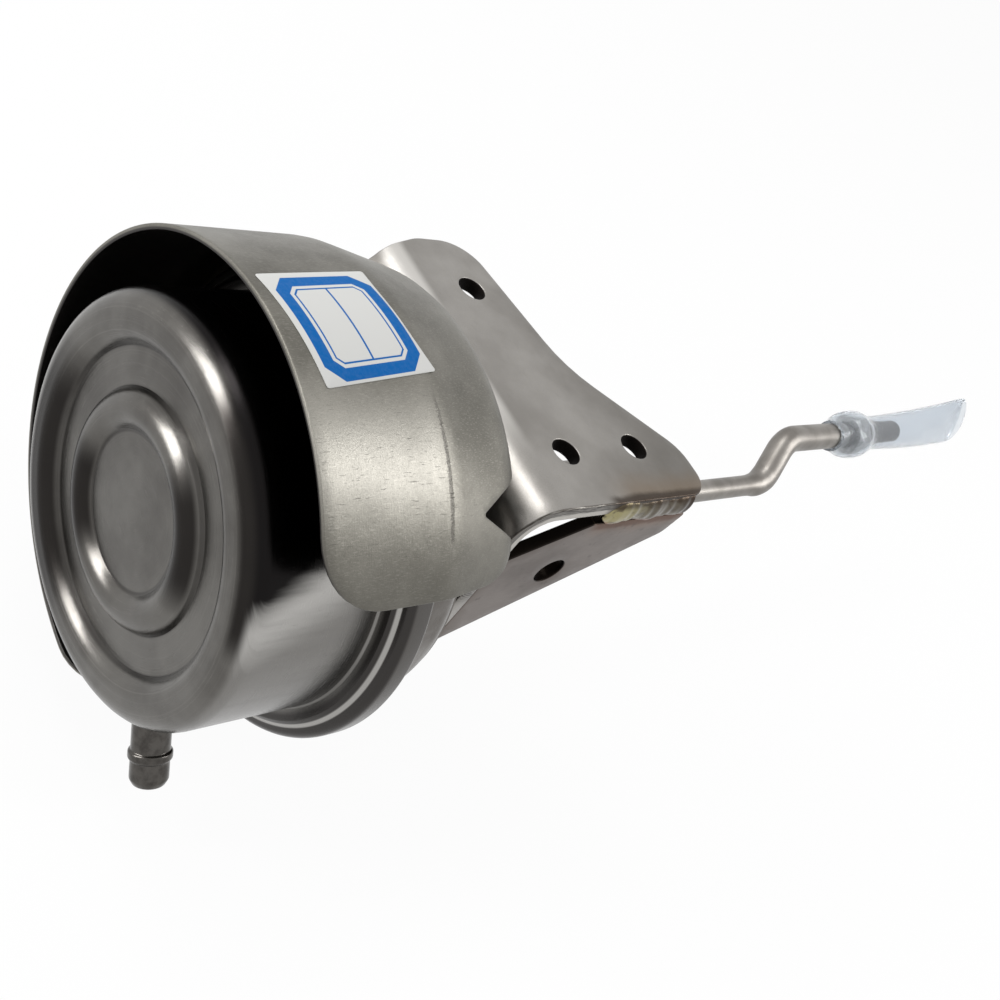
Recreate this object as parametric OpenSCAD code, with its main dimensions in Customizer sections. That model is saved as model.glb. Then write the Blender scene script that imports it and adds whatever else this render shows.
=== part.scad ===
// Pneumatic wastegate actuator: can, diaphragm drive, heat shield, bracket and rod
// The model is drawn about the can's axis and moved at the end, so that the origin
// lies midway between the two near bolt holes, on the bracket's mounting face.
// +X runs along the rod, +Z out of the mounting face, -Y towards the gusset.

/* [Can] */
// Outer diameter of the drawn end cup
can_d = 70; // [66:1:76]
// Sheet thickness of both shells
can_sheet = 1; // [0.8:0.1:1.2]
// Depth of the end cup from its flat ring to the seam
cup_depth = 22.4; // [20:0.2:26]
// Corner radius between end face and wall
cup_corner = 3.9; // [3:0.1:4.5]
// Height of the rounded ridges over the flat ring
ridge_h = 2.56; // [1.6:0.1:3]
// Half width of a rounded ridge at its foot
ridge_half = 3.5; // [3.1:0.1:3.8]
// Inner radius of the flat ring
ring_in = 19.7; // [18:0.1:21]
// Outer radius of the flat ring
ring_out = 26.03; // [24:0.1:27]
// Height of the middle disc over the flat ring
disc_h = 0.8; // [0.4:0.1:1]
// Radial reach of the rolled seam beyond the cup's wall
seam_reach = 5.8; // [5.4:0.1:6.4]
// Axial length of the rear shell behind the seam
rear_depth = 11.5; // [10:0.1:14]
// Radius of the rear shell's corner
rear_corner = 4; // [3:0.1:5]
// Radius of the raised boss behind the can
boss_r = 21; // [19:0.5:24]
// Height of the raised boss
boss_h = 5.5; // [4:0.1:7]

/* [Hose nipple] */
// Outer diameter of the nipple's stem
nipple_d = 6.6; // [5.6:0.1:6.8]
// Diameter of the nipple's collar
collar_d = 7.5; // [7.4:0.1:8]
// Bore of the nipple
nipple_bore = 3.6; // [3:0.1:4.2]
// Reach of the nipple outside the can's wall
nipple_reach = 12.7; // [12:0.1:18]
// Length of the plain tip beyond the collar
nipple_tip = 4.2; // [3:0.1:5]
// Place of the nipple behind the flat ring
nipple_x = 5; // [4.8:0.1:10]
// Angle of the nipple from straight down
nipple_turn = 37.6; // [20:0.1:60]

/* [Drive] */
// Thickness of the diaphragm
skin_t = 0.8; // [0.6:0.1:1]
// Outer radius of the piston plate's skirt
piston_r = 29.8; // [27.6:0.1:30]
// Sheet thickness of the piston plate
piston_sheet = 1.2; // [1:0.1:1.5]
// Length of the piston's skirt
skirt_len = 12; // [8:0.5:13]
// Gap between the flat ring and the rod's riveted head
head_gap = 3.2; // [2.4:0.1:4]
// Stroke of the rod
stroke = 12; // [8:0.5:12]
// Wire diameter of the return spring
wire_d = 2.8; // [2.2:0.1:3]
// Mean radius of the return spring
spring_r = 25.4; // [24.8:0.1:26]
// Turns of the return spring
spring_turns = 4.5; // [3.5:0.5:4.5]

/* [Rod] */
// Diameter of the rod
rod_d = 5.2; // [5:0.1:5.6]
// Diameter of the rod's thicker outer end
rod_end_d = 6.8; // [6.2:0.1:7]
// Diameter of the thread
thread_d = 6; // [5.8:0.1:6.1]
// Distance from the bracket's flange to the first bend
first_bend = 56; // [50:1:62]
// Sideways step of the hidden first bend
rod_dip = 7.6; // [6.6:0.1:12]
// Sideways step of the second bend
rod_rise = 11.2; // [9:0.1:18]
// Length from the first bend to the second
rod_mid = 68.9; // [60:0.1:75]
// Bend angle of both S-bends
bend_deg = 53; // [40:1:55]
// Centre-line radius of the bends
bend_r = 8; // [7:0.5:9]
// Turn of the bends' plane about the rod, from upright
bend_turn = 38; // [0:0.5:45]
// Plain length after the second bend
end_plain = 22.5; // [16:0.5:30]
// Length of the thread
thread_len = 29.2; // [26:0.2:40]
// Distance from the thread's start to the jam nut
nut_place = 3; // [1:0.5:5]
// Width of the jam nut across its flats
nut_af = 10; // [9.5:0.5:10]
// Thickness of the jam nut
nut_t = 5; // [4:0.5:7]

/* [Thread sleeve] */
// Wall of the clear sleeve
sleeve_wall = 0.7; // [0.5:0.1:0.9]
// Length of the sleeve ahead of the nut
sleeve_lap = 9; // [4:0.5:11]
// Inner radius of the sleeve round the thread
sleeve_r = 4.7; // [4.2:0.1:5]
// Length of the round part behind the nut
sleeve_round = 22; // [18:1:30]
// Length of the flattened free end
sleeve_flat = 39; // [30:1:50]
// Width of the squashed tip
tip_w = 15.6; // [13:0.2:16]
// Thickness of the squashed tip
tip_t = 3.2; // [3:0.1:5]
// Upward drift of the squashed tip
tip_lift = 3; // [0:0.5:6]
// Turn of the squashed tip from flat
tip_turn = 68; // [0:1:90]
// Corner radius of the squashed tip
tip_corner = 3.6; // [1:0.1:4]
// Sealed length at the tip
tip_seal = 4; // [2:0.5:8]
// Clearance between the sleeve and the nut
nut_gap = 0.15; // [0.1:0.05:0.4]

/* [Heat shield] */
// Distance from the can's wall to the shield's outer face
shield_stand = 9.5; // [9:0.1:12]
// Sheet thickness of the shield
shield_sheet = 1; // [0.8:0.1:1.2]
// Place of the shield's front edge behind the flat ring
shield_front = 2.8; // [1:0.1:6]
// Length of the tapering shoulder
shoulder_len = 19; // [14:0.5:20]
// Inward step of the shoulder
shoulder_in = 4.5; // [1:0.1:5]
// Radius of the rear corner
shield_corner = 7; // [4:0.1:8]
// Near end of the wrap, from straight up
wrap_near = 58.5; // [54:0.5:70]
// Far end of the wrap, from straight up
wrap_far = 192; // [150:1:195]
// Corner radius of the shield's free ends
shield_round = 12; // [8:0.5:13]
// Near end of the back wall, from straight up
back_near = 36; // [30:1:38]
// Half angle of the relief notch
notch_half = 6.5; // [4:0.5:7]
// Depth of the relief notch
notch_depth = 9; // [6:0.5:11]
// Distance from the shield's back to the free edge beside the notch
side_gap = 2.8; // [2:0.1:8]

/* [Bracket] */
// Sheet thickness of the bracket
bracket_t = 3; // [2.5:0.1:3.5]
// Height of the mounting face over the can's axis
face_h = 30; // [28:0.5:34]
// Reach of the bracket to the near side
near_w = 28.8; // [27:0.1:31]
// Reach of the bracket to the far side
far_w = 35.5; // [33:0.1:38]
// Reach of the bend to the far side
bend_w = 33.8; // [31.4:0.1:35]
// Outer radius of the bend
bracket_bend = 8; // [6:0.5:9]
// Length of the plate at its near side
plate_near = 48; // [46:0.5:56]
// Length of the plate at its far side
plate_far = 27; // [25:0.5:30]
// Radius of the flange's round lower end
flange_r = 31; // [30:0.5:34]
// Diameter of the plate's three bolt holes
plate_hole = 5.5; // [5:0.1:6.6]
// Distance of the near holes from the near edge
near_hole_in = 12; // [10:0.5:14]
// Distance from flange to the first near hole
near_hole_x = 16.9; // [16:0.1:19]
// Spacing of the two near holes
hole_pitch = 18.4; // [16:0.1:20]
// Distance of the far hole from the far edge
far_hole_in = 12.9; // [11:0.1:15]
// Distance from flange to the far hole
far_hole_x = 20.1; // [18:0.1:22]

/* [Gusset] */
// Sheet thickness of the gusset
gusset_t = 2.5; // [2:0.1:3]
// Depth of the gusset below the can's axis
gusset_low = 7.5; // [2:0.5:12]
// Height of the gusset's outer end
gusset_end = 6; // [4:0.5:8]
// Diameter of the gusset's hole
gusset_hole = 6.2; // [5.5:0.1:6.6]
// Gap under the plate that the weld fills
weld_gap = 2.6; // [2:0.1:3]

/* [Studs] */
// Diameter of the mounting studs
stud_d = 6; // [5:0.5:6]
// Distance between the studs
stud_pitch = 27; // [25:0.5:29]
// Length of the studs behind the boss
stud_len = 13; // [12:0.5:16]
// Width of the stud nuts across their flats
stud_nut_af = 10; // [9.5:0.5:10.5]
// Height of the stud nuts
stud_nut_t = 5; // [4:0.5:6]

/* [Label] */
// Side of the square label
label_w = 21; // [16:0.5:22]
// Thickness of the label
label_t = 0.15; // [0.1:0.05:0.3]

/* [Hidden] */
$fn = 96;
fit = 0.05;
play = 0.3;
skin_gap = 0.1;
can_r = can_d / 2;
wall_r = can_r - can_sheet;
seam_r = can_r + seam_reach;
arch_r = (ridge_half * ridge_half + ridge_h * ridge_h) / 2 / ridge_h;
ridge_r = ring_in - ridge_half;
rim_r = ring_out + ridge_half;
lip = can_sheet;
clamp_x = cup_depth + 2.5;
skin_rim = 1.2;
flange_x = clamp_x + skin_rim;
curl_x = flange_x + can_sheet;
rear_x = curl_x + lip + rear_depth;
rear_r = can_r + 1;
boss_x = rear_x + boss_h;
back_x = boss_x + shield_sheet;
flange_back = back_x + bracket_t;
neck_in = 5.2;
neck_r = neck_in + 1.2;
neck_x = flange_back + 3.5;
head_t = 1.8;
washer_t = 1.4;
head_x = head_gap;
washer_x = head_x + head_t;
skin_x = washer_x + washer_t;
piston_x = skin_x + skin_t;
crown_x = piston_x + piston_sheet;
seat_t = 0.8;
seat_x = rear_x - can_sheet - seat_t;
shield_r = can_r + shield_stand;
shield_end_r = shield_r - shoulder_in;
side_end = back_x - side_gap;
crease_x = back_x - shoulder_len;
stem_r = nipple_d / 2;
root_r = stem_r - 0.2;
bolt_x = back_x + near_hole_x + hole_pitch / 2;
bolt_y = -near_w + near_hole_in;
bend_top = face_h - bracket_bend;
seam_lap = 0.3;
seam_step = 0.08;

// Frame helpers: axial() lays a revolve along +X, place() moves to the part's origin
module axial(x = 0) {
    translate([x, 0, 0]) rotate([0, 90, 0]) children();
}

module place() {
    translate([-bolt_x, -bolt_y, -face_h]) children();
}

module tube(x0, x1, r_out, r_in) {
    axial(x0) difference() {
        cylinder(r = r_out, h = x1 - x0);
        translate([0, 0, -1]) cylinder(r = r_in, h = x1 - x0 + 2);
    }
}

module rod_piece(x0, x1, r) {
    axial(x0) cylinder(r = r, h = x1 - x0);
}

// Turns a direction in the YZ plane, a degrees from straight up towards the near side
module around(a) {
    rotate([a, 0, 0]) children();
}

// Rounded outline: each point is [x, y, radius]
function unit(v) = v / norm(v);
function corner_arc(a, b, c, r, n = 8) =
    let (u = unit([a[0] - b[0], a[1] - b[1]]),
         v = unit([c[0] - b[0], c[1] - b[1]]),
         half = acos(u * v) / 2,
         d = r / tan(half),
         p = [b[0], b[1]] + u * d,
         q = [b[0], b[1]] + v * d,
         m = [b[0], b[1]] + unit(u + v) * r / sin(half),
         s = p - m,
         e = q - m,
         turn = s[0] * e[1] - s[1] * e[0] > 0 ? 1 : -1,
         sweep = 180 - 2 * half)
    [for (i = [0:n])
        let (t = turn * sweep * i / n)
        m + [s[0] * cos(t) - s[1] * sin(t), s[0] * sin(t) + s[1] * cos(t)]];
function outline(pts) =
    [for (i = [0:len(pts) - 1])
        let (k = len(pts), a = pts[(i + k - 1) % k], b = pts[i], c = pts[(i + 1) % k])
        for (p = (b[2] > 0 ? corner_arc(a, b, c, b[2]) : [[b[0], b[1]]])) p];

// End cup: the outer form is one half section, the inner form is the same one set in
module cup_form() {
    square([can_r, 0.01 + cup_depth]);
}

module cup_face(grow) {
    union() {
        translate([0, grow]) square([rim_r, cup_depth - grow]);
        translate([0, grow - disc_h]) square([ridge_r - ridge_half + 0.4, disc_h]);
        intersection() {
            translate([ridge_r, grow + arch_r - ridge_h]) circle(r = arch_r);
            translate([ridge_r - ridge_half - 1, grow - ridge_h - 1])
                square([2 * ridge_half + 2, ridge_h + 2]);
        }
        intersection() {
            translate([rim_r, grow + arch_r - ridge_h]) circle(r = arch_r);
            translate([rim_r - ridge_half - 1, grow - ridge_h - 1])
                square([ridge_half + 1, ridge_h + 2]);
        }
    }
}

module cup_outer() {
    union() {
        cup_face(0);
        translate([rim_r - 0.01, -ridge_h])
            square([can_r - cup_corner - rim_r + 0.01, cup_depth + ridge_h]);
        translate([can_r - cup_corner, cup_corner - ridge_h]) circle(r = cup_corner);
        translate([can_r - cup_corner, cup_corner - ridge_h])
            square([cup_corner, cup_depth + ridge_h - cup_corner]);
        translate([can_r - cup_corner - 0.01, cup_corner - ridge_h])
            square([1, cup_depth + ridge_h - cup_corner]);
    }
}

module cup_inner() {
    cr = cup_corner - can_sheet;
    union() {
        cup_face(can_sheet);
        translate([rim_r - 0.01, can_sheet - ridge_h])
            square([wall_r - cr - rim_r + 0.01, cup_depth + ridge_h]);
        translate([wall_r - cr, cr + can_sheet - ridge_h]) circle(r = cr);
        translate([wall_r - cr - 0.01, cr + can_sheet - ridge_h])
            square([cr + 0.01, cup_depth + ridge_h]);
    }
}

// Rolled rim: flange, step, outer band and the curl behind the rear shell's flange
module seam_outer() {
    step_r = can_r + 2.7;
    polygon([
        [wall_r, cup_depth], [step_r - 0.4, cup_depth], [step_r, cup_depth + 0.5],
        [seam_r - 0.7, cup_depth + 1.3], [seam_r - 0.2, cup_depth + 1.7],
        [seam_r, cup_depth + 2.4], [seam_r, curl_x + lip - 0.8],
        [seam_r - 0.3, curl_x + lip - 0.2], [seam_r - 0.9, curl_x + lip],
        [rear_r + 2.2, curl_x + lip], [rear_r + 2.2, curl_x], [seam_r - lip, curl_x],
        [seam_r - lip, clamp_x], [step_r - 1, clamp_x - 1], [wall_r, clamp_x - 1]
    ]);
}

module end_cup() {
    place() color("silver") difference() {
        axial() rotate_extrude() union() {
            difference() {
                cup_outer();
                cup_inner();
            }
            seam_outer();
        }
        nipple_line() cylinder(r = root_r, h = can_r + 20);
    }
}

// The nipple's own line, outwards from the can's axis
module nipple_line() {
    translate([nipple_x, 0, 0]) rotate([180 - nipple_turn, 0, 0]) children();
}

module hose_nipple() {
    tip_r = nipple_reach + can_r;
    collar_t = 2.6;
    collar_h = tip_r - nipple_tip - collar_t;
    flare = 1.4;
    place() color("gainsboro") nipple_line() difference() {
        translate([0, 0, can_r - 3]) rotate_extrude() polygon([
            [nipple_bore / 2, 0], [root_r, 0], [root_r, 3], [stem_r, 3],
            [stem_r, collar_h - can_r + 3 - 0.4],
            [collar_d / 2 - 0.2, collar_h - can_r + 3],
            [collar_d / 2, collar_h - can_r + 3.4],
            [collar_d / 2, collar_h - can_r + 3 + collar_t - 0.7],
            [collar_d / 2 - 0.5, collar_h - can_r + 3 + collar_t],
            [stem_r, collar_h - can_r + 3 + collar_t + 0.2],
            [stem_r + 0.1, nipple_reach + 3 - 1.2],
            [stem_r - 0.3, nipple_reach + 3 - 0.4],
            [stem_r - 0.9, nipple_reach + 3],
            [nipple_bore / 2, nipple_reach + 3]
        ]);
    }
}

// Rear shell: drawn cup with clamped flange, raised boss and guide neck
module rear_section(t) {
    r = rear_r - t;
    c = rear_corner - t;
    union() {
        translate([0, flange_x - t]) square([r, rear_x - flange_x - c]);
        translate([0, flange_x - t]) square([r - c, rear_x - flange_x]);
        translate([r - c, rear_x - t - c]) circle(r = c);
        translate([0, flange_x]) square([boss_r - t, boss_x - t - flange_x - 1.5]);
        translate([0, flange_x]) square([boss_r - t - 1.5, boss_x - t - flange_x]);
        translate([boss_r - t - 1.5, boss_x - t - 1.5]) circle(r = 1.5);
    }
}

module rear_housing() {
    place() color("lightgray") difference() {
        axial() rotate_extrude() difference() {
            union() {
                rear_section(0);
                translate([0, flange_x]) square([seam_r - lip - fit, can_sheet]);
                translate([0, boss_x - 1]) square([neck_r, neck_x - boss_x + 1]);
            }
            rear_section(can_sheet);
            translate([0, boss_x - 10]) square([neck_in, neck_x - boss_x + 20]);
        }
        for (s = [-1, 1]) translate([0, s * stud_pitch / 2, 0])
            axial(boss_x - 5) cylinder(r = stud_d / 2, h = 10);
    }
}

// Diaphragm: rim in the seam, one rolled fold, flat middle under the washer
module diaphragm() {
    in_r = piston_r + play;
    out_r = wall_r - skin_t - skin_gap;
    roll = (out_r - in_r - skin_t) / 2;
    roll_x = flange_x + 2.2;
    place() color("dimgray") axial() rotate_extrude() union() {
        translate([out_r, clamp_x]) square([seam_r - lip - fit - out_r, skin_rim]);
        translate([out_r, clamp_x]) square([skin_t, roll_x - clamp_x]);
        intersection() {
            difference() {
                translate([(in_r + skin_t + out_r) / 2, roll_x])
                    circle(r = roll + skin_t);
                translate([(in_r + skin_t + out_r) / 2, roll_x]) circle(r = roll);
            }
            translate([in_r, roll_x]) square([2 * roll + 2 * skin_t, 10]);
        }
        translate([in_r, skin_x]) square([skin_t, roll_x - skin_x]);
        translate([rod_d / 2 - 0.5, skin_x]) square([in_r + skin_t - rod_d / 2 + 0.5, skin_t]);
    }
}

module piston_plate() {
    place() color("goldenrod") axial() rotate_extrude() difference() {
        translate([rod_d / 2 - 0.5, piston_x])
            square([piston_r - rod_d / 2 + 0.5, skirt_len]);
        translate([0, crown_x])
            square([piston_r - piston_sheet, skirt_len]);
    }
}

module retainer_washer() {
    place() color("silver") tube(washer_x, skin_x, ring_in + 2, rod_d / 2 - 0.5);
}

// Spring: one closed tube swept along a coil, eight sides, flat end turns
function coil_at(a, turns) =
    let (len_x = seat_x - crown_x - wire_d,
         k = (a / 360 - 0.5) / (turns - 1),
         u = min(1, max(0, k)))
    [crown_x + wire_d / 2 + len_x * u, spring_r * cos(a), spring_r * sin(a)];

module return_spring() {
    sides = 8;
    steps = floor(spring_turns * 20);
    rings = [for (i = [0:steps])
        let (a = 360 * spring_turns * i / steps, p = coil_at(a, spring_turns))
        for (j = [0:sides - 1])
            let (b = 360 * j / sides, k = wire_d / 2 * 0.98)
            [p[0] + k * sin(b),
             p[1] + k * cos(b) * cos(a),
             p[2] + k * cos(b) * sin(a)]];
    faces = concat(
        [[for (j = [0:sides - 1]) sides - 1 - j]],
        [for (i = [0:steps - 1]) for (j = [0:sides - 1])
            let (a = i * sides + j, b = i * sides + (j + 1) % sides)
            [a, b, b + sides, a + sides]],
        [[for (j = [0:sides - 1]) steps * sides + j]]);
    place() color("slategray") polyhedron(rings, faces, convexity = 8);
}

module spring_seat() {
    place() color("silver") tube(seat_x, seat_x + seat_t, spring_r + 2.4, spring_r - 3);
}

module guide_bush() {
    place() color("peru")
        tube(boss_x - 4, neck_x - 1, neck_in, rod_d / 2 + fit);
}

module mounting_studs() {
    place() color("silver") for (s = [-1, 1]) translate([0, s * stud_pitch / 2, 0]) {
        rod_piece(boss_x - can_sheet - 1.5, boss_x - can_sheet, stud_d / 2 + 1.5);
        rod_piece(boss_x - can_sheet, boss_x + stud_len, stud_d / 2);
    }
}

module stud_washers() {
    place() color("gainsboro") for (s = [-1, 1]) translate([0, s * stud_pitch / 2, 0])
        tube(flange_back, flange_back + 1, stud_d + 0.1, stud_d / 2 + 0.2);
}

module hex_nut(x, af, t, bore_r) {
    axial(x) difference() {
        intersection() {
            cylinder(r = af / 2 / cos(30), h = t, $fn = 6);
            cylinder(r1 = af / 2 + 0.1, r2 = af / 2 + t, h = t);
            cylinder(r2 = af / 2 + 0.1, r1 = af / 2 + t, h = t);
        }
        translate([0, 0, -1]) cylinder(r = bore_r, h = t + 2);
    }
}

module stud_nuts() {
    place() color("silver") for (s = [-1, 1]) translate([0, s * stud_pitch / 2, 0])
        hex_nut(flange_back + 1, stud_nut_af, stud_nut_t, stud_d / 2);
}

// Heat shield: a revolved sheet cut to its wrap, corners and relief notch
module shield_section() {
    c = shield_corner;
    difference() {
        shield_solid(0);
        translate([0, 0]) shield_solid(shield_sheet);
    }
}

module shield_solid(t) {
    c = shield_corner - t;
    slope = shoulder_in / shoulder_len;
    union() {
        polygon([
            [0, shield_front - t], [shield_r - t, shield_front - t], [shield_r - t, crease_x],
            [shield_end_r - t + slope * shield_corner, back_x - shield_corner],
            [shield_end_r - t + slope * shield_corner - c, back_x - t],
            [0, back_x - t]
        ]);
        intersection() {
            translate([shield_end_r - t + slope * shield_corner - c, back_x - t - c])
                circle(r = c);
            translate([0, crease_x]) square([shield_r, shoulder_len]);
        }
    }
}

// A wedge about the axis between two angles from straight up, near side positive
module wedge(a0, a1, x0, x1, r = 90) {
    n = ceil((a1 - a0) / 30);
    translate([x0, 0, 0]) rotate([90, 0, 90]) linear_extrude(x1 - x0)
        polygon(concat([[0, 0]],
            [for (i = [0:n]) let (a = a0 + (a1 - a0) * i / n) [-r * sin(a), r * cos(a)]]));
}

module heat_shield() {
    place() color("darkgray") difference() {
        union() {
            difference() {
                axial() rotate_extrude() shield_section();
                wedge(wrap_near, 360 - wrap_far, -10, back_x + 5);
                wedge(back_near + 2 * notch_half - 1, wrap_near + 1, side_end, back_x + 5);
                shield_notch();
                near_corners();
                far_corner();
            }
            axial(boss_x) cylinder(r = boss_r, h = shield_sheet);
        }
        axial(boss_x - 1) cylinder(r = neck_r + 0.4, h = 5);
        for (s = [-1, 1]) translate([0, s * stud_pitch / 2, 0])
            axial(boss_x - 1) cylinder(r = stud_d / 2 + 0.2, h = 5);
    }
}

module shield_notch() {
    a = back_near + notch_half;
    w = shield_r * tan(notch_half);
    around(a) translate([0, 0, 20]) linear_extrude(40) polygon([
        [side_end - notch_depth, 0], [side_end + 1.2, -w * 1.1], [back_x + 5, -w * 1.1],
        [back_x + 5, w], [side_end + 0.5, w]
    ]);
}

// Rounds the two corners at the near end of the wrap
module near_corners() {
    arc = 57.3 * shield_round / shield_r;
    a = wrap_near - arc;
    lift = shield_r * sin(arc) - 0.4;
    around(a) translate([0, 0, 10]) difference() {
        translate([shield_front - 5, -lift - 15, 0])
            cube([side_end - shield_front + 10, lift + 15 - 0.01, 50]);
        linear_extrude(50) polygon(outline([
            [shield_front, 30, 0], [shield_front, -lift, shield_round],
            [side_end, -lift, 7], [side_end, 30, 0]
        ]));
    }
}

// Rounds the front corner at the far end of the wrap
module far_corner() {
    arc = 57.3 * shield_round / shield_r;
    a = -(wrap_far - arc);
    lift = shield_r * sin(arc) - 0.4;
    around(a) translate([0, 0, 10]) difference() {
        translate([shield_front - 5, 0.01, 0]) cube([back_x + 5, lift + 15, 50]);
        linear_extrude(50) polygon(outline([
            [shield_front, -30, 0], [shield_front, lift, shield_round],
            [shield_front + 60, lift, 0], [shield_front + 60, -30, 0]
        ]));
    }
}

// Label: a square patch of a thin shell that lies on the shield
module label() {
    x0 = shield_front + 3;
    place() color("white") intersection() {
        tube(x0 - 5, x0 + label_w + 5, shield_r + label_t, shield_r);
        around(1.5) translate([x0 + label_w / 2, 0, shield_r - 8]) rotate([0, 0, 7])
            translate([-label_w / 2, -label_w / 2, 0]) cube([label_w, label_w, 16]);
    }
}

// Bracket: a bent strip trimmed by the plate's and the flange's outlines
module bracket_section() {
    r = bracket_bend;
    t = bracket_t;
    difference() {
        union() {
            translate([back_x, -60]) square([r, 60 + bend_top]);
            translate([back_x + r, bend_top - 60]) square([90, 60 + r]);
            translate([back_x + r, bend_top]) circle(r = r);
        }
        translate([back_x + t, -70]) square([r - t + 0.01, 70 + bend_top + 0.01]);
        translate([back_x + r, bend_top - 70]) square([100, 70 + r - t]);
        translate([back_x + r, bend_top]) circle(r = r - t);
    }
}

module plate_outline() {
    x1 = back_x + plate_far;
    x2 = back_x + plate_near;
    waist = near_hole_in + 19.8 - near_w;
    x0 = back_x + bracket_bend - 0.01;
    polygon(outline([
        [x0, far_w, 0], [x1 - 0.8, far_w, 8], [x1 + 4.4, waist, 25],
        [x2, waist - 21, 9], [x2, -near_w, 5], [x0, -near_w, 0]
    ]));
}

module flange_outline() {
    rotate([90, 0, 90]) linear_extrude(back_x + 100) difference() {
        union() {
            circle(r = flange_r);
            translate([-near_w, 0]) square([near_w + flange_r, face_h + 1]);
            polygon([[flange_r - 0.5, 4], [far_w, bend_top - 6], [far_w, face_h + 1],
                     [0, face_h + 1]]);
        }
        translate([-near_w - 20, -60]) square([20, 120]);
    }
}

// Narrows the bend and the flange on the far side
module far_trim() {
    x0 = back_x + bracket_bend;
    translate([0, 0, -60]) linear_extrude(120) polygon([
        [back_x - 2, flange_r + 0.2], [back_x + 3, flange_r + 0.9], [x0, bend_w],
        [x0 + 6, far_w + 0.3], [x0 + 6, far_w + 10], [back_x - 2, far_w + 10]
    ]);
}

module bracket() {
    place() color("lightsteelblue") difference() {
        intersection() {
            rotate([90, 0, 0]) translate([0, 0, -far_w - 5])
                linear_extrude(near_w + far_w + 10) bracket_section();
            union() {
                translate([0, 0, face_h - 20]) linear_extrude(25) plate_outline();
                intersection() {
                    flange_outline();
                    translate([back_x - 1, -60, -60]) cube([bracket_bend + 1, 120, 120]);
                }
            }
        }
        translate([bolt_x - hole_pitch / 2, bolt_y, face_h - 20])
            cylinder(r = plate_hole / 2, h = 30);
        translate([bolt_x + hole_pitch / 2, bolt_y, face_h - 20])
            cylinder(r = plate_hole / 2, h = 30);
        translate([back_x + far_hole_x, far_w - far_hole_in, face_h - 20])
            cylinder(r = plate_hole / 2, h = 30);
        far_trim();
        axial(back_x - 5) cylinder(r = neck_r + 0.6, h = 20);
        for (s = [-1, 1]) translate([0, s * stud_pitch / 2, 0])
            axial(back_x - 5) cylinder(r = stud_d / 2 + 0.2, h = 20);
    }
}

// Gusset: side plate between the flange's rear face and the plate's near edge
module gusset() {
    x1 = back_x + plate_near - 1.8;
    top = face_h - bracket_t - weld_gap;
    foot = flange_back;
    place() color("rosybrown") difference() {
        rotate([90, 0, 0]) translate([0, 0, near_w - gusset_t]) linear_extrude(gusset_t)
            polygon(outline([
                [foot, -gusset_low, 0], [x1 - 2, top - gusset_end, 3], [x1, top, 1],
                [foot + 17, top, 6], [foot, top - 8, 0]
            ]));
        translate([foot + 16.1, -near_w - 5, (top - gusset_low) / 2 + 2.4])
            rotate([-90, 0, 0]) cylinder(r = gusset_hole / 2, h = 20);
    }
}

// Welds: the long bead in the gap under the plate, the short ones at the flange
module weld_beads() {
    x0 = flange_back + 18;
    x1 = back_x + plate_near - 3.6;
    top = face_h - bracket_t - weld_gap;
    place() color("tan") {
        difference() {
            translate([0, -near_w + 0.6, top + weld_gap / 2])
                rod_piece(x0, x1, weld_gap / 2 + 1.2);
            translate([x0 - 5, -near_w, face_h - bracket_t])
                cube([x1 - x0 + 10, 20, 10]);
            translate([x0 - 5, -near_w, top - 10]) cube([x1 - x0 + 10, gusset_t, 10]);
        }
        difference() {
            translate([flange_back + 0.4, -near_w + gusset_t + 0.4, 0])
                cylinder(r = 1.6, h = 14);
            translate([flange_back - 5, -near_w - 10, -1]) cube([5, 30, 16]);
            translate([flange_back - 5, -near_w - 10 + gusset_t, -1]) cube([30, 10, 16]);
        }
    }
}

// Rod: stub, collar and shaft, two S-bends in one plane, thicker threaded end
module arc_tube(r, angle) {
    translate([bend_r, 0, 0]) rotate([90, 0, 0]) rotate([0, 0, 180 - angle])
        rotate_extrude(angle = angle) translate([bend_r, 0]) circle(r = r);
}

// One S-bend along +Z that steps towards +X by step
module s_bend(step, r, r_in) {
    run = bend_r * sin(bend_deg);
    off = bend_r * (1 - cos(bend_deg));
    link = (step - 2 * off) / sin(bend_deg);
    arc_tube(r - seam_step, bend_deg);
    translate([off, 0, run]) rotate([0, bend_deg, 0]) {
        translate([0, 0, -seam_lap]) cylinder(r = r, h = link + 2 * seam_lap);
        translate([0, 0, link]) rotate([0, 0, 180]) arc_tube(r - seam_step, bend_deg);
    }
}

function bend_run(step) =
    2 * bend_r * sin(bend_deg)
    + (step - 2 * bend_r * (1 - cos(bend_deg))) / sin(bend_deg) * cos(bend_deg);

dip_x = back_x + first_bend;
mid_x = dip_x + bend_run(rod_dip);
rise_x = dip_x + rod_mid;
end_x = rise_x + bend_run(rod_rise);
end_h = rod_rise - rod_dip;
thread_x = end_x + end_plain;
tip_x = thread_x + thread_len;

module bend_plane() {
    rotate([-bend_turn, 0, 0]) children();
}

module rod_line() {
    bend_plane() translate([0, 0, end_h]) children();
}

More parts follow.
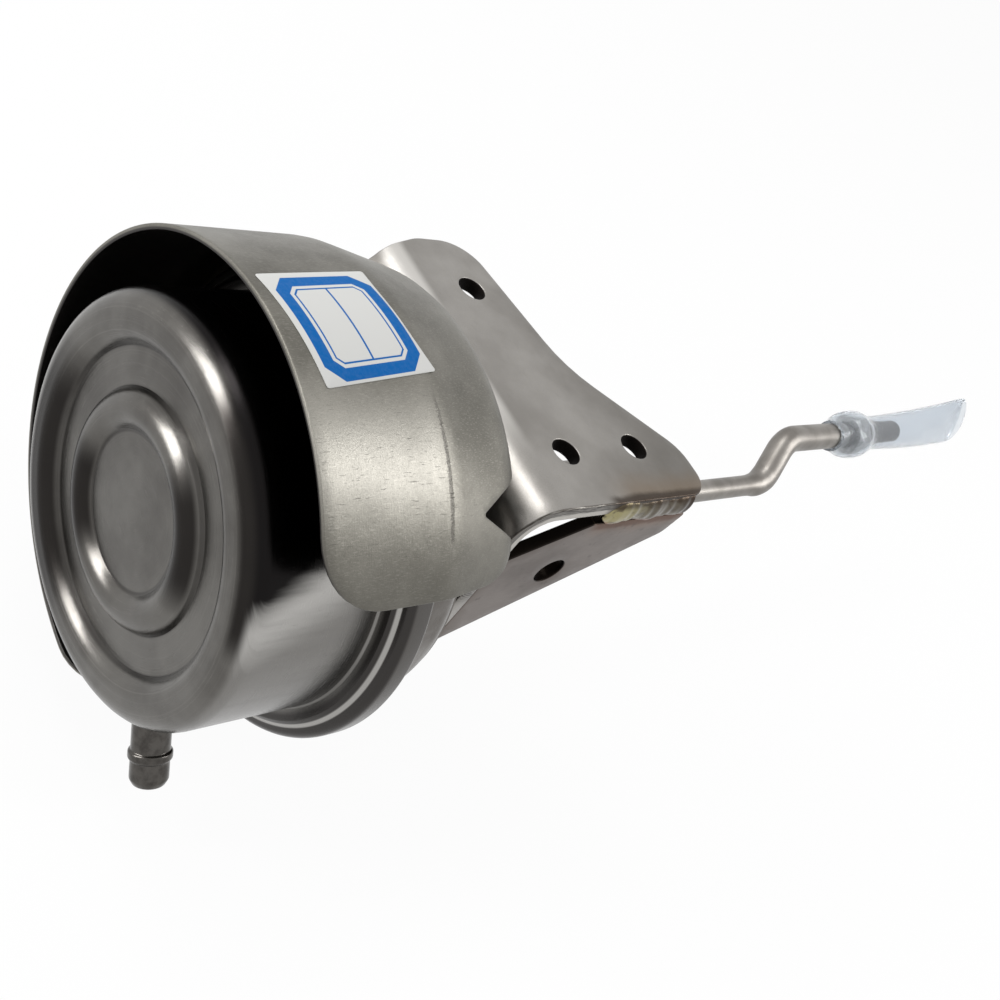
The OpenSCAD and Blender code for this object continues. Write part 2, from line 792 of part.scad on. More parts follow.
module rod() {
    r = rod_d / 2;
    re = rod_end_d / 2;
    place() color("gray") union() {
        rod_piece(head_x, washer_x, r + 1.8);
        rod_piece(washer_x, crown_x, r - 0.5);
        rod_piece(crown_x, crown_x + 2, r + 1.8);
        rod_piece(crown_x + 2, dip_x + seam_lap, r);
        bend_plane() {
            translate([dip_x, 0, 0]) rotate([0, 90, 0]) s_bend(rod_dip, r);
            translate([0, 0, -rod_dip]) {
                rod_piece(mid_x - seam_lap, rise_x - 4 + seam_lap, r);
                axial(rise_x - 4) cylinder(r1 = r - seam_step, r2 = re - seam_step, h = 3.7);
                rod_piece(rise_x - 0.5, rise_x + seam_lap, re);
            }
            translate([rise_x, 0, -rod_dip]) rotate([0, 90, 0]) rotate([0, 0, 180])
                s_bend(rod_rise, re);
        }
        rod_line() {
            rod_piece(end_x - seam_lap, thread_x, re);
            rod_piece(thread_x, tip_x - 0.8, thread_d / 2);
            axial(tip_x - 0.8) cylinder(r1 = thread_d / 2, r2 = thread_d / 2 - 0.8, h = 0.8);
        }
    }
}

nut_x = thread_x + nut_place;

module jam_nut() {
    place() color("silver") rod_line() hex_nut(nut_x, nut_af, nut_t, thread_d / 2 + fit);
}

// Sleeve: one wall swept through oval rings, from a wide round mouth over the nut, through a
// narrower round part, to a squashed and sealed free end with round corners. Each ring is
// [place, half thickness, half width, lift]; g is the wall, or 0 for the hollow inside.
function sleeve_rings(g) =
    let (mouth = nut_af / 2 / cos(30) + nut_gap + g,
         x1 = nut_x + nut_t + nut_gap,
         x3 = x1 + sleeve_round,
         r = sleeve_r + g,
         a = tip_t / 2 - sleeve_wall + g,
         b = tip_w / 2 - sleeve_wall + g,
         run = sleeve_flat - (g > 0 ? tip_corner : tip_seal))
    concat(
        [[nut_x - sleeve_lap, mouth, mouth, 0],
         [x1, mouth, mouth, 0],
         [x1 + mouth - r, r, r, 0],
         [x3, r, r, 0]],
        [for (k = [1:5])
            let (s = k / 5, e = s * s * (3 - 2 * s))
            [x3 + run * s, r + (a - r) * e, r + (b - r) * e, tip_lift * e]],
        g > 0 ? [for (q = [30:30:90])
            [x3 + run + tip_corner * sin(q),
             a * (0.7 + 0.3 * cos(q)),
             b - tip_corner * (1 - cos(q)),
             tip_lift]] : []);

module thread_sleeve() {
    n = 32;
    outer = sleeve_rings(sleeve_wall);
    inner = sleeve_rings(0);
    last = (len(outer) - 1) * n;
    first = len(outer) * n;
    end = (len(outer) + len(inner) - 1) * n;
    points = [for (ring = concat(outer, inner)) for (j = [0:n - 1])
        let (u = ring[1] * cos(360 * j / n), v = ring[2] * sin(360 * j / n))
        [ring[0],
         u * sin(tip_turn) + v * cos(tip_turn),
         ring[3] - u * cos(tip_turn) + v * sin(tip_turn)]];
    faces = concat(
        [for (i = [0:n:last - n]) for (j = [0:n - 1])
            let (a = i + j, b = i + (j + 1) % n)
            each [[a, a + n, b + n], [a, b + n, b]]],
        [for (i = [first:n:end - n]) for (j = [0:n - 1])
            let (a = i + j, b = i + (j + 1) % n)
            each [[a, b + n, a + n], [a, b, b + n]]],
        [for (j = [0:n - 1])
            let (a = j, b = (j + 1) % n)
            each [[a, b, first + b], [a, first + b, first + a]]],
        [[for (j = [0:n - 1]) last + n - 1 - j]],
        [[for (j = [0:n - 1]) end + j]]);
    place() color("lightblue", 0.5) rod_line() polyhedron(points = points, faces = faces);
}

end_cup();
hose_nipple();
rear_housing();
diaphragm();
piston_plate();
retainer_washer();
return_spring();
spring_seat();
guide_bush();
mounting_studs();
stud_washers();
stud_nuts();
heat_shield();
label();
bracket();
gusset();
weld_beads();
rod();
jam_nut();
thread_sleeve();
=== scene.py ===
import bpy
import numpy as np
from mathutils import Matrix, Vector
from mathutils.geometry import delaunay_2d_cdt


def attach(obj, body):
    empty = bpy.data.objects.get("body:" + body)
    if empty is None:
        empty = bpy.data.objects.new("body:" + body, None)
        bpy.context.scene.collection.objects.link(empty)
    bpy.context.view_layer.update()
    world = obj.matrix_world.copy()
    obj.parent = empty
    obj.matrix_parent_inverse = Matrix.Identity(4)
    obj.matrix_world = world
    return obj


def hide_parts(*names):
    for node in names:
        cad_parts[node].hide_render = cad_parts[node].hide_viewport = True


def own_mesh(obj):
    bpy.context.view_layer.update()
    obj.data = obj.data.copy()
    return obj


# A turbo's pressure actuator. Lengths are millimetres: x counts from the flat ring on the can's face,
# y and z from the can's axis. Materials read places in millimetres from the frame's origin.
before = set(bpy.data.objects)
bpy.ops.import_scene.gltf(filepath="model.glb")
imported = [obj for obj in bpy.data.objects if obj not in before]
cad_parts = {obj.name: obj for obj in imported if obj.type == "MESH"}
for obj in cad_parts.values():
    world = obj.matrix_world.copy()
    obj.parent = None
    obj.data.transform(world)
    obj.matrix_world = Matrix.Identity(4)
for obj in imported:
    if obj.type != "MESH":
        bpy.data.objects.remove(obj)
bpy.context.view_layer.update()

# End cup: the can's front shell, drawn from steel sheet with a raised disc and two ridges pressed into
# its face. Its rim steps out and is rolled back behind the rear shell's flange, which makes the seam.
MM = 0.001

# The can's axis in the frame: x of the face's flat ring, then y and z of the axis itself
AXIS = np.array([-72.2, 16.8, -30.0])


class Sock:
    """A shader socket that takes part in formulas: a + b, a * 2, max and so on add Math nodes."""

    def __init__(self, mat, out):
        self.mat, self.out = mat, out

    def math(self, op, *others):
        return self.mat.math(op, self, *others)

    def __add__(self, o):
        return self.math("ADD", o)

    __radd__ = __add__

    def __sub__(self, o):
        return self.math("SUBTRACT", o)

    def __rsub__(self, o):
        return self.mat.math("SUBTRACT", o, self)

    def __mul__(self, o):
        return self.math("MULTIPLY", o)

    __rmul__ = __mul__

    def __truediv__(self, o):
        return self.math("DIVIDE", o)

    def __pow__(self, o):
        return self.math("POWER", o)

    def abs(self):
        return self.math("ABSOLUTE")

    def max(self, o):
        return self.math("MAXIMUM", o)

    def min(self, o):
        return self.math("MINIMUM", o)

    def step(self, low, high):
        """0 below low, 1 above high, smooth between."""
        n = self.mat.node("ShaderNodeMapRange", interpolation_type="SMOOTHSTEP")
        self.mat.put(n.inputs["Value"], self)
        n.inputs["From Min"].default_value = low
        n.inputs["From Max"].default_value = high
        return Sock(self.mat, n.outputs["Result"])


class Mat:
    """A material with one Principled shader and short names for the nodes that its formulas use."""

    def __init__(self, name, **constants):
        self.m = bpy.data.materials.new(name)
        self.m.use_nodes = True
        self.tree = self.m.node_tree
        self.bsdf = next(n for n in self.tree.nodes if n.type == "BSDF_PRINCIPLED")
        for key, v in constants.items():
            socket = self.bsdf.inputs[key.replace("_", " ")]
            socket.default_value = (*v, 1) if isinstance(v, tuple) and len(v) == 3 else v

    def node(self, kind, **props):
        n = self.tree.nodes.new(kind)
        for key, v in props.items():
            setattr(n, key, v)
        return n

    def put(self, socket, v):
        if isinstance(v, Sock):
            self.tree.links.new(v.out, socket)
        else:
            socket.default_value = v

    def math(self, op, *values):
        n = self.node("ShaderNodeMath", operation=op)
        for i, v in enumerate(values):
            self.put(n.inputs[i], v)
        return Sock(self, n.outputs[0])

    def coords(self, kind="Object"):
        """The three coordinates as separate sockets, Object ones in millimetres from the row origin."""
        n = self.node("ShaderNodeTexCoord")
        s = self.node("ShaderNodeSeparateXYZ")
        self.tree.links.new(n.outputs[kind], s.inputs[0])
        k = 1000 if kind == "Object" else 1
        return [Sock(self, s.outputs[i]) * k for i in range(3)]

    def radius(self, y, z):
        """Distance from the can's axis and the cosines of its direction to the near side and up."""
        near, up = AXIS[1] - y, z - AXIS[2]
        r = (near * near + up * up) ** 0.5
        return r, near / r, up / r

    def vec(self, x, y, z):
        """Three values as one vector."""
        n = self.node("ShaderNodeCombineXYZ")
        for i, v in enumerate((x, y, z)):
            self.put(n.inputs[i], v)
        return Sock(self, n.outputs[0])

    def noise(self, vec, scale=1.0, detail=3.0, rough=0.5, distortion=0.0):
        """Cloudy noise from 0 to 1 in space: the vector's factors give its grain in each direction."""
        n = self.node("ShaderNodeTexNoise")
        self.tree.links.new(vec.out, n.inputs["Vector"])
        settings = {"Scale": scale, "Detail": detail, "Roughness": rough, "Distortion": distortion}
        for key, v in settings.items():
            n.inputs[key].default_value = v
        return Sock(self, n.outputs["Fac"])

    def clouds(self, grain, detail=4, rough=0.6):
        """The same noise in all directions, with grain cells a millimetre."""
        x, y, z = self.coords()
        return self.noise(self.vec(x * grain, y * grain, z * grain), 1.0, detail, rough)

    def line_noise(self, w, scale=1.0, detail=3.0, rough=0.5):
        """Noise along one coordinate only: brushed and turned lines."""
        n = self.node("ShaderNodeTexNoise", noise_dimensions="1D")
        self.put(n.inputs["W"], w)
        for key, v in (("Scale", scale), ("Detail", detail), ("Roughness", rough)):
            n.inputs[key].default_value = v
        return Sock(self, n.outputs["Fac"])

    def mix(self, fac, a, b):
        """Colour a at fac 0, colour b at fac 1; each is a colour tuple or a socket."""
        n = self.node("ShaderNodeMix", data_type="RGBA")
        self.put(n.inputs["Factor"], fac)
        for socket, v in ((n.inputs[6], a), (n.inputs[7], b)):
            self.put(socket, v if isinstance(v, Sock) else (*v, 1))
        return Sock(self, n.outputs[2])

    def set(self, **sockets):
        """Feeds sockets of the Principled shader, whose names have _ for a space here."""
        for key, v in sockets.items():
            self.put(self.bsdf.inputs[key.replace("_", " ")], v)
        return self

    def bump(self, height, distance=0.0001, strength=1.0):
        """Lets height, times distance in metres, tilt the surface's normals."""
        n = self.node("ShaderNodeBump")
        self.tree.links.new(height.out, n.inputs["Height"])
        n.inputs["Distance"].default_value = distance
        n.inputs["Strength"].default_value = strength
        self.tree.links.new(n.outputs["Normal"], self.bsdf.inputs["Normal"])
        return self


def new_object(name, verts, faces, uv=None, sharp=40):
    """A mesh object from points in millimetres, smooth except at edges sharper than sharp degrees."""
    mesh = bpy.data.meshes.new(name)
    mesh.from_pydata((np.asarray(verts) * MM).tolist(), [], faces)
    mesh.validate()
    if uv is not None:
        layer = mesh.uv_layers.new(name="UVMap")
        loops = np.empty(len(mesh.loops), dtype=np.int32)
        mesh.loops.foreach_get("vertex_index", loops)
        layer.data.foreach_set("uv", np.asarray(uv, dtype=np.float32)[loops].ravel())
    mesh.polygons.foreach_set("use_smooth", [True] * len(mesh.polygons))
    mesh.set_sharp_from_angle(angle=np.radians(sharp))
    obj = bpy.data.objects.new(name, mesh)
    bpy.context.scene.collection.objects.link(obj)
    return obj


def finish_piece(obj, mat, body, slot, *nodes):
    """Gives the piece its material and its body and hides the CAD nodes that it stands for; slot is not used.
    """
    obj.data.materials.clear()
    obj.data.materials.append(mat.m)
    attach(obj, body)
    if nodes:
        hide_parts(*nodes)
    return obj


def rounded(points, closed=False, step=12.0):
    """A polyline whose corners are arcs: each point is (a, b, radius), one arc point every step degrees."""
    pts = [np.array(p[:2], float) for p in points]
    rad = [p[2] if len(p) > 2 else 0.0 for p in points]
    n, out = len(pts), []
    for i, b in enumerate(pts):
        if rad[i] <= 0 or (not closed and i in (0, n - 1)):
            out.append(b)
            continue
        u, v = pts[i - 1] - b, pts[(i + 1) % n] - b
        u, v = u / np.linalg.norm(u), v / np.linalg.norm(v)
        half = np.arccos(np.clip(u @ v, -1, 1)) / 2
        d = rad[i] / np.tan(half)
        mid = (u + v) / np.linalg.norm(u + v)
        centre = b + mid * rad[i] / np.sin(half)
        s, e = b + u * d - centre, b + v * d - centre
        turn = np.arctan2(s[0] * e[1] - s[1] * e[0], s @ e)
        k = max(2, int(np.ceil(abs(np.degrees(turn)) / step)))
        for t in np.linspace(0, turn, k + 1):
            c, w = np.cos(t), np.sin(t)
            out.append(centre + np.array([s[0] * c - s[1] * w, s[0] * w + s[1] * c]))
    return np.array(out)


def along(path):
    """Running length at each point of a polyline."""
    return np.concatenate([[0], np.cumsum(np.linalg.norm(np.diff(path, axis=0), axis=1))])


def dense(path, step):
    """The polyline with points added so that no side is longer than step."""
    out = [path[:1]]
    for a, b in zip(path[:-1], path[1:]):
        k = max(1, int(np.ceil(np.linalg.norm(b - a) / step)))
        out.append(a + (b - a) * (np.arange(1, k + 1) / k)[:, None])
    return np.concatenate(out)


def ring_faces(rows, n, ends="open"):
    """Quads between rows of n points: (k, i), (k, i + 1), (k + 1, i + 1), (k + 1, i). The end rows stay open,
    get a cap each, or are joined to each other."""
    k = np.arange(rows if ends == "joined" else rows - 1)[:, None]
    i = np.arange(n)
    j, after = (i + 1) % n, (k + 1) % rows
    faces = np.stack([k * n + i, k * n + j, after * n + j, after * n + i], 2).reshape(-1, 4).tolist()
    if ends == "capped":
        faces += [list(range(n))[::-1], list(range(rows * n - n, rows * n))]
    return faces


def outward(obj):
    """Turns the faces of a closed mesh outwards if its signed volume is negative: a sixth of the sum of
    a . (b x c) over its triangles."""
    me = obj.data
    me.calc_loop_triangles()
    v = np.empty(len(me.vertices) * 3)
    me.vertices.foreach_get("co", v)
    v = v.reshape(-1, 3)
    t = np.empty(len(me.loop_triangles) * 3, dtype=np.int32)
    me.loop_triangles.foreach_get("vertices", t)
    t = t.reshape(-1, 3)
    volume = np.einsum("ij,ij->i", v[t[:, 0]], np.cross(v[t[:, 1]], v[t[:, 2]])).sum() / 6
    if volume < 0:
        me.flip_normals()
    return obj


def revolve(name, profile, centre=AXIS, frame3=None, n=192, sharp=35):
    """Turns (r, x) points about an axis: centre + x * axis + r * (cos a * up + sin a * side). An end point on
    the axis closes the shape there; a profile with both ends off the axis is closed back to its start.
    frame3 is (axis, up, side) as unit vectors."""
    axis, up, side = np.eye(3)[[0, 2, 1]] if frame3 is None else frame3
    profile = np.asarray(profile, float)
    r, x = profile[:, 0, None], profile[:, 1, None]
    angle = np.arange(n) * 2 * np.pi / n
    ring = np.cos(angle)[:, None] * up + np.sin(angle)[:, None] * side
    points = centre + x[..., None] * axis + r[..., None] * ring
    uv = np.stack(np.broadcast_arrays(along(profile)[:, None] / 10, r * angle / 10), 2)
    pole = profile[:, 0] < 1e-6
    verts = np.concatenate([points[~pole].reshape(-1, 3), points[pole][:, 0]])
    uv = np.concatenate([uv[~pole].reshape(-1, 2), uv[pole][:, 0]])
    rows = int((~pole).sum())
    faces = ring_faces(rows, n, "open" if pole.any() else "joined")
    i = np.arange(n)
    j = (i + 1) % n
    if pole[0]:
        faces += np.stack([np.full(n, rows * n), j, i], 1).tolist()
    if pole[-1]:
        last = rows * n - n
        faces += np.stack([last + i, last + j, np.full(n, rows * n + int(pole[0]))], 1).tolist()
    return outward(new_object(name, verts, faces, uv, sharp))


disc_r, disc_up = 14.5, 0.8
ridge_r, outer_ridge_r = 16.2, 29.5
ridge_up, ridge_half = 2.56, 3.5
face_r, wall_r, seam_r = 31.0, 35.0, 40.78
cup_t = 1.0


def face_height(r):
    """Height over the flat ring: the smooth maximum, blend * log(sum of exp(part / blend)), of the disc and
    two ridges, which are arcs of a circle. Past the outer ridge's crest the height stays the crest's."""
    blend = 0.16
    arc_r = (ridge_half ** 2 + ridge_up ** 2) / 2 / ridge_up

    def ridge(crest):
        d = np.clip(np.abs(r - crest), 0, arc_r * 0.999)
        return np.sqrt(arc_r ** 2 - d ** 2) - arc_r + ridge_up

    rim = np.where(r > outer_ridge_r, ridge_up, ridge(outer_ridge_r))
    parts = [np.where(r < disc_r, disc_up, 0.0), ridge(ridge_r), rim]
    return blend * np.log(sum(np.exp(np.clip(p, -3, 3) / blend) for p in parts))


cup_r = np.concatenate([np.linspace(0, 11, 12), np.linspace(11.3, face_r, 110)])
cup_face = np.stack([cup_r, -face_height(cup_r)], 1)
cup_face[:, 1] -= ridge_up + cup_face[-1, 1]
cup_side = rounded([(face_r, -ridge_up), (wall_r, -ridge_up, 3.9), (wall_r, 22.4, 0.5), (37.4, 22.5, 0.5),
                    (38.6, 23.4, 0.8), (seam_r, 23.7, 1.5), (seam_r, 28.1, 0.9), (38.2, 28.1, 0.3),
                    (38.2, 27.1)])
cup_back = np.array([(39.8, 27.1), (39.8, 24.9), (36.7, 23.9), (34, 23.9), (34, 2.0), (31.6, -1.3)])
cup_inside = np.stack([cup_r, cup_t - face_height(cup_r)], 1)[::-4][1:]
cup_inside[-1] = (0, cup_inside[-1][1])
cup_profile = np.concatenate([cup_face, dense(cup_side[1:], 2.0), cup_back, cup_inside])
cup = revolve("end_cup_shell", cup_profile, n=256)
m = Mat("turned_steel", Metallic=1.0)
x, y, z = m.coords()
u, v, _ = m.coords("UV")
r, near, up = m.radius(y, z)

# Turned lines, a slow ripple, clouds, scuffs, scratches and streaks that run along x
fine = m.line_noise(u, 160, 4, 0.7)
ripple = m.line_noise(u, 26, 2, 0.5)
wide = m.noise(m.vec(x * 0.05, y * 0.05, z * 0.05), 1.3, 4, 0.6)
scuff = m.noise(m.vec(u * 30, v * 1.2, 0), 1.0, 5, 0.65)
scratch = m.noise(m.vec(u * 5, v * 90, 0), 1.0, 2, 0.5).step(0.68, 0.74)
streak = m.noise(m.vec(v * 2.2, x * 0.03, 0), 1.0, 4, 0.6)
wall = x.step(-74.5, -72.5) * r.step(33.5, 34.6)
seam = r.step(35.4, 36.6) * x.step(-51, -49.8)
face = m.mix(wide.step(0.3, 0.75), (0.148, 0.142, 0.132), (0.086, 0.081, 0.075))
face = m.mix((fine * 0.5 + ripple * 0.5).step(0.56, 0.70) * r.step(12, 20) * 0.3, face, (0.28, 0.27, 0.255))

# Painted dark reflections: on the ridge at two opposite places, on the outer ridge at one of them and on the
# face's round edge at the other; and painted shade, thin along the feet of the ridges
across = near * 0.79 + up * 0.61
painted_shade_and_reflection = (r - ridge_r).abs().step(3.5, 2.6) * across.abs().step(0.72, 0.96)
painted_shade_and_reflection = painted_shade_and_reflection.max((r - 28.9).abs().step(3.2, 2.2) * (across * -1).step(0.55, 0.88))
painted_shade_and_reflection = painted_shade_and_reflection.max(r.step(31.2, 33.0) * (near * 0.67 + up * 0.74).step(0.78, 0.9))
for foot in (12.9, 19.6, 26.1):
    painted_shade_and_reflection = painted_shade_and_reflection.max((r - foot).abs().step(0.5, 0.1) * 0.6)
face = m.mix(painted_shade_and_reflection * 0.94, face, (0.018, 0.016, 0.015))

# The wall's light is painted: painted shade dark at the top, and below a streaky edge that rises towards the
# seam a painted reflection, brightest just under the edge and darker again low down; darker streaks and
# scratches run through it
below = (x + 70.2) * 0.015 - up + streak * 0.14 + 0.43
low = below.step(-0.05, 0.1)
side = m.mix(low, (0.012, 0.011, 0.011), (0.20, 0.193, 0.183))
side = m.mix(low * below.step(0.34, 0.08) * 0.8, side, (0.46, 0.45, 0.43))
side = m.mix(below.step(0.5, 0.95) * 0.55, side, (0.08, 0.077, 0.072))
side = m.mix((streak.step(0.45, 0.75) * 0.35 + scratch * 0.4) * low, side, (0.12, 0.115, 0.108))

# The rolled rim has a dark front with one painted highlight, a bright line, on it, and a grey back
painted_rim_highlight = (r - 38.4).abs().step(0.5, 0.2) * x.step(-47.5, -48.5)
rolled = m.mix(painted_rim_highlight, (0.045, 0.042, 0.04), (0.34, 0.33, 0.315))
rolled = m.mix(x.step(-48.0, -47.4), rolled, (0.10, 0.095, 0.09))

m.set(Base_Color=m.mix(seam, m.mix(wall, face, side), rolled),
      Roughness=(fine * 0.08 + scuff * 0.12 + 0.15))
m.bump(fine * 0.35 + ripple * 0.25 + scuff * 0.5 - scratch * 0.3, 0.00003, 0.6)
finish_piece(cup, m, "can", "drawn_steel", "end_cup")

# Bracket: 3 mm steel sheet, cut flat with three bolt holes and bent square into the mounting plate. Its
# flange lies behind the shield's back wall under the stud nuts, and the weld's heat tints its near edge.
def sheet_solid(name, loops, bend, thick, bevel=0.3, grid=2.0, sharp=35):
    """A bent sheet: loops are its outline and holes in the flat (u, v), and bend(u, v, w) gives the point at
    depth w below the outer face. Both faces carry a grid for a smooth bend, and a rim's edge is a quarter
    circle: inset by bevel * (1 - sin t) at the depth bevel * (1 - cos t), for t from 0 to 90 degrees."""
    def inset_loop(loop, d):
        t = np.roll(loop, -1, 0) - np.roll(loop, 1, 0)
        t /= np.linalg.norm(t, axis=1)[:, None]
        return loop + np.stack([-t[:, 1], t[:, 0]], 1) * d

    def area(loop):
        x, y = loop.T
        return 0.5 * np.sum(x * np.roll(y, -1) - y * np.roll(x, -1))

    def inside(p, loop):
        """Whether a ray from each point crosses the loop an odd number of times."""
        x, y = p[:, 0, None], p[:, 1, None]
        a, b = loop, np.roll(loop, -1, 0)
        cross = (a[:, 1] > y) != (b[:, 1] > y)
        xs = a[:, 0] + (y - a[:, 1]) / (b[:, 1] - a[:, 1] + 1e-12) * (b[:, 0] - a[:, 0])
        return (cross & (x < xs)).sum(1) % 2 == 1

    def on_sheet(p):
        """Whether each point is inside the outline and in none of the holes."""
        keep = inside(p, inner[0])
        for hole in inner[1:]:
            keep &= ~inside(p, hole)
        return keep

    # The outline runs counterclockwise and the holes clockwise, so that an inset goes into the sheet
    loops = [np.asarray(loop, float) for loop in loops]
    loops = [loop if (area(loop) > 0) == (i == 0) else loop[::-1] for i, loop in enumerate(loops)]
    inner = [inset_loop(loop, bevel) for loop in loops]

    # Grid points on the sheet that keep their distance from the rims
    low, high = inner[0].min(0), inner[0].max(0)
    gu, gv = np.meshgrid(np.arange(low[0], high[0], grid), np.arange(low[1], high[1], grid), indexing="ij")
    pts = np.stack([gu.ravel(), gv.ravel()], 1) + grid * 0.31
    pts = pts[on_sheet(pts)]
    rim = np.concatenate(inner)
    apart = np.concatenate([np.linalg.norm(part[:, None] - rim, axis=2).min(1)
                            for part in np.array_split(pts, len(pts) // 500 + 1)])
    flat = np.concatenate([rim, pts[apart > grid * 0.45]])

    # Triangles between rims and grid; came tells which of the given points each point of the result was
    starts = np.cumsum([0] + [len(loop) for loop in inner])
    edges = [(a + i, a + (i + 1) % (b - a)) for a, b in zip(starts, starts[1:]) for i in range(b - a)]
    net = delaunay_2d_cdt([Vector(p) for p in flat], [tuple(map(int, e)) for e in edges], [], 1, 1e-6)
    flat = np.array([tuple(p) for p in net[0]])
    tris = np.array([tuple(f) for f in net[2]])
    tris = tris[on_sheet(flat[tris].mean(1))]
    index = {i: k for k, came in enumerate(net[3]) for i in came}

    # The two faces, then round each rim the rings of its two edges
    count = len(flat)
    verts = [bend(flat[:, 0], flat[:, 1], 0.0), bend(flat[:, 0], flat[:, 1], thick)]
    uv = [flat / 10, flat / 10]
    faces = tris.tolist() + (tris[:, ::-1] + count).tolist()
    turns = np.radians([30, 60, 90])
    steps = [(bevel * (1 - np.sin(t)), bevel * (1 - np.cos(t))) for t in turns]
    steps += [(inset, thick - deep) for inset, deep in steps[::-1]]
    made = 2 * count
    for loop, start in zip(loops, starts):
        k = len(loop)
        front = np.array([index[start + i] for i in range(k)])
        for inset, deep in steps:
            q = inset_loop(loop, inset)
            verts.append(bend(q[:, 0], q[:, 1], deep))
            uv.append(q / 10)
        sides = made + np.arange(len(steps) * k).reshape(-1, k)
        made += len(steps) * k
        rings = np.concatenate([front[None], sides, front[None] + count])
        after = np.roll(rings, -1, 1)
        faces += np.stack([rings[:-1], rings[1:], after[1:], after[:-1]], 2).reshape(-1, 4).tolist()
    return outward(new_object(name, np.concatenate(verts), faces, np.concatenate(uv), sharp))


def circle(cx, cy, r, n=48):
    """n points of a hole's edge: (cx + r cos a, cy + r sin a)."""
    a = np.arange(n) * 2 * np.pi / n
    return np.stack([cx + r * np.cos(a), cy + r * np.sin(a)], 1)


flange_x, flange_r, bend_r, bend_z, sheet_t = 46.1, 31.0, 8.0, 22.0, 3.0
plate_x, plate_end, near_y = flange_x + bend_r, 94.1, -28.8
bend_len = (bend_r - sheet_t / 2) * np.pi / 2
bolt_r = 2.75
bolt_holes = ((63.0, -16.8), (81.4, -16.8), (66.2, 22.6))


def bracket_point(u, v, w):
    """u runs down the flange below 0, round the bend to bend_len, then along the plate; v is y. On the bend
    x = plate_x - r cos a and z = bend_z + r sin a, with r = bend_r - w."""
    a = np.clip(u / bend_len, 0, 1) * np.pi / 2
    r = bend_r - w
    px = plate_x - r * np.cos(a) + np.maximum(u - bend_len, 0)
    pz = bend_z + r * np.sin(a) + np.minimum(u, 0)
    return AXIS + np.stack([px, v, pz], 1)


def plate_u(x):
    """Place along the flat sheet of a point of the plate at x."""
    return x - plate_x + bend_len


plate_side = [(plate_u(plate_end), near_y, 5), (plate_u(plate_end), -18.0, 9), (plate_u(77.5), 3.0, 25),
              (plate_u(72.3), 35.5, 8), (plate_u(60.0), 35.6, 8)]
flange_side = [(bend_len, 33.75, 0), (7.94, 32.8, 0), (5.67, 31.95, 0), (3.4, 31.6, 0), (0, 31.45, 0),
               (-15.8, 31.3, 2), (-18.2, 30.74, 0)]
turn = np.radians(np.linspace(0, 158.2, 42))
turn = np.append(turn[flange_r * np.cos(turn) > near_y], np.arccos(near_y / flange_r))
flange_arc = [(-bend_z - flange_r * np.sin(t), flange_r * np.cos(t), 0) for t in turn]
bracket_loop = rounded(plate_side + flange_side + flange_arc, closed=True, step=8)
bracket_loop = dense(np.concatenate([bracket_loop, bracket_loop[:1]]), 2.0)[:-1]
holes = [circle(plate_u(hx), hy, bolt_r) for hx, hy in bolt_holes]
bracket = sheet_solid("bracket_sheet", [bracket_loop] + holes, bracket_point, sheet_t, 0.35, 1.8)
m = Mat("bracket_steel", Metallic=1.0)
x, y, z = m.coords()
grain = m.noise(m.vec(x * 0.9, y * 0.12, z * 0.12), 1.0, 5, 0.7)
pits = m.clouds(3, 3)
cloud = m.clouds(0.05, 4, 0.55)
scratch = m.noise(m.vec(x * 5 + y * 1.5, y * 0.25, z * 0.25), 1.0, 2, 0.5).step(0.68, 0.74)

# Heat from the weld: a wide brown tint and a black edge
tint = (y * -1 + cloud * 9 - 8).step(1.5, 8.0) * x.step(-8, 4)
scorch = (y * -1 + cloud * 3 + pits * 0.6).step(11.9, 13.2) * x.step(-7, -4)

# Painted shade: the holes' walls are painted near black
hole = None
for hx, hy in bolt_holes:
    dx, dy = x - (hx + AXIS[0]), y - (hy + AXIS[1])
    painted_hole_shade = ((dx * dx + dy * dy) ** 0.5).step(bolt_r + 0.17, bolt_r + 0.05)
    hole = painted_hole_shade if hole is None else hole.max(painted_hole_shade)
hole = hole * z.step(-4, -3.5)

# The plate darkens along x, and a painted highlight runs along the bend
steel = m.mix(cloud.step(0.3, 0.7), (0.34, 0.325, 0.305), (0.235, 0.222, 0.205))
sand = m.clouds(7, 2, 0.7)
steel = m.mix(sand.step(0.45, 0.65) * 0.3 + scratch * 0.4, steel, (0.15, 0.14, 0.125))
steel = m.mix((x + cloud * 10).step(0, 22) * 0.6, steel, (0.10, 0.092, 0.08))
# Painted highlight: a bright band along the bend
steel = m.mix((x + 19.5).abs().step(3.6, 1.2) * y.step(-4, 14) * 0.8, steel, (0.62, 0.60, 0.57))
steel = m.mix(tint * 0.5, steel, (0.20, 0.14, 0.085))

# turn_r is the distance from the bend's centre line. The bend has a painted highlight near its cut edge, and
# the cut edge is bright at its inner side and dark and frayed at its outer one
turn_r = ((x - (plate_x + AXIS[0])).min(0) ** 2 + (z - (bend_z + AXIS[2])) * (z - (bend_z + AXIS[2]))) ** 0.5
painted_bend_glint = x.step(-19, -22) * turn_r.step(7.1, 7.5) * z.step(-13, -10) * z.step(-4.5, -7) * y.step(10, 4)
steel = m.mix(painted_bend_glint, steel, (0.50, 0.485, 0.46))
fray = m.noise(m.vec(x * 0.4, y * 2, turn_r * 4), 1.0, 3, 0.6)
torn = m.mix(fray.step(0.4, 0.6), (0.20, 0.19, 0.175), (0.05, 0.045, 0.04))
trim = m.mix((turn_r + fray * 1.2).step(6.9, 7.3), (0.42, 0.40, 0.37), torn)
steel = m.mix(y.step(-11.55, -11.8) * z.step(-26, -22), steel, trim)
steel = m.mix(scorch * 0.85, steel, (0.035, 0.024, 0.017))
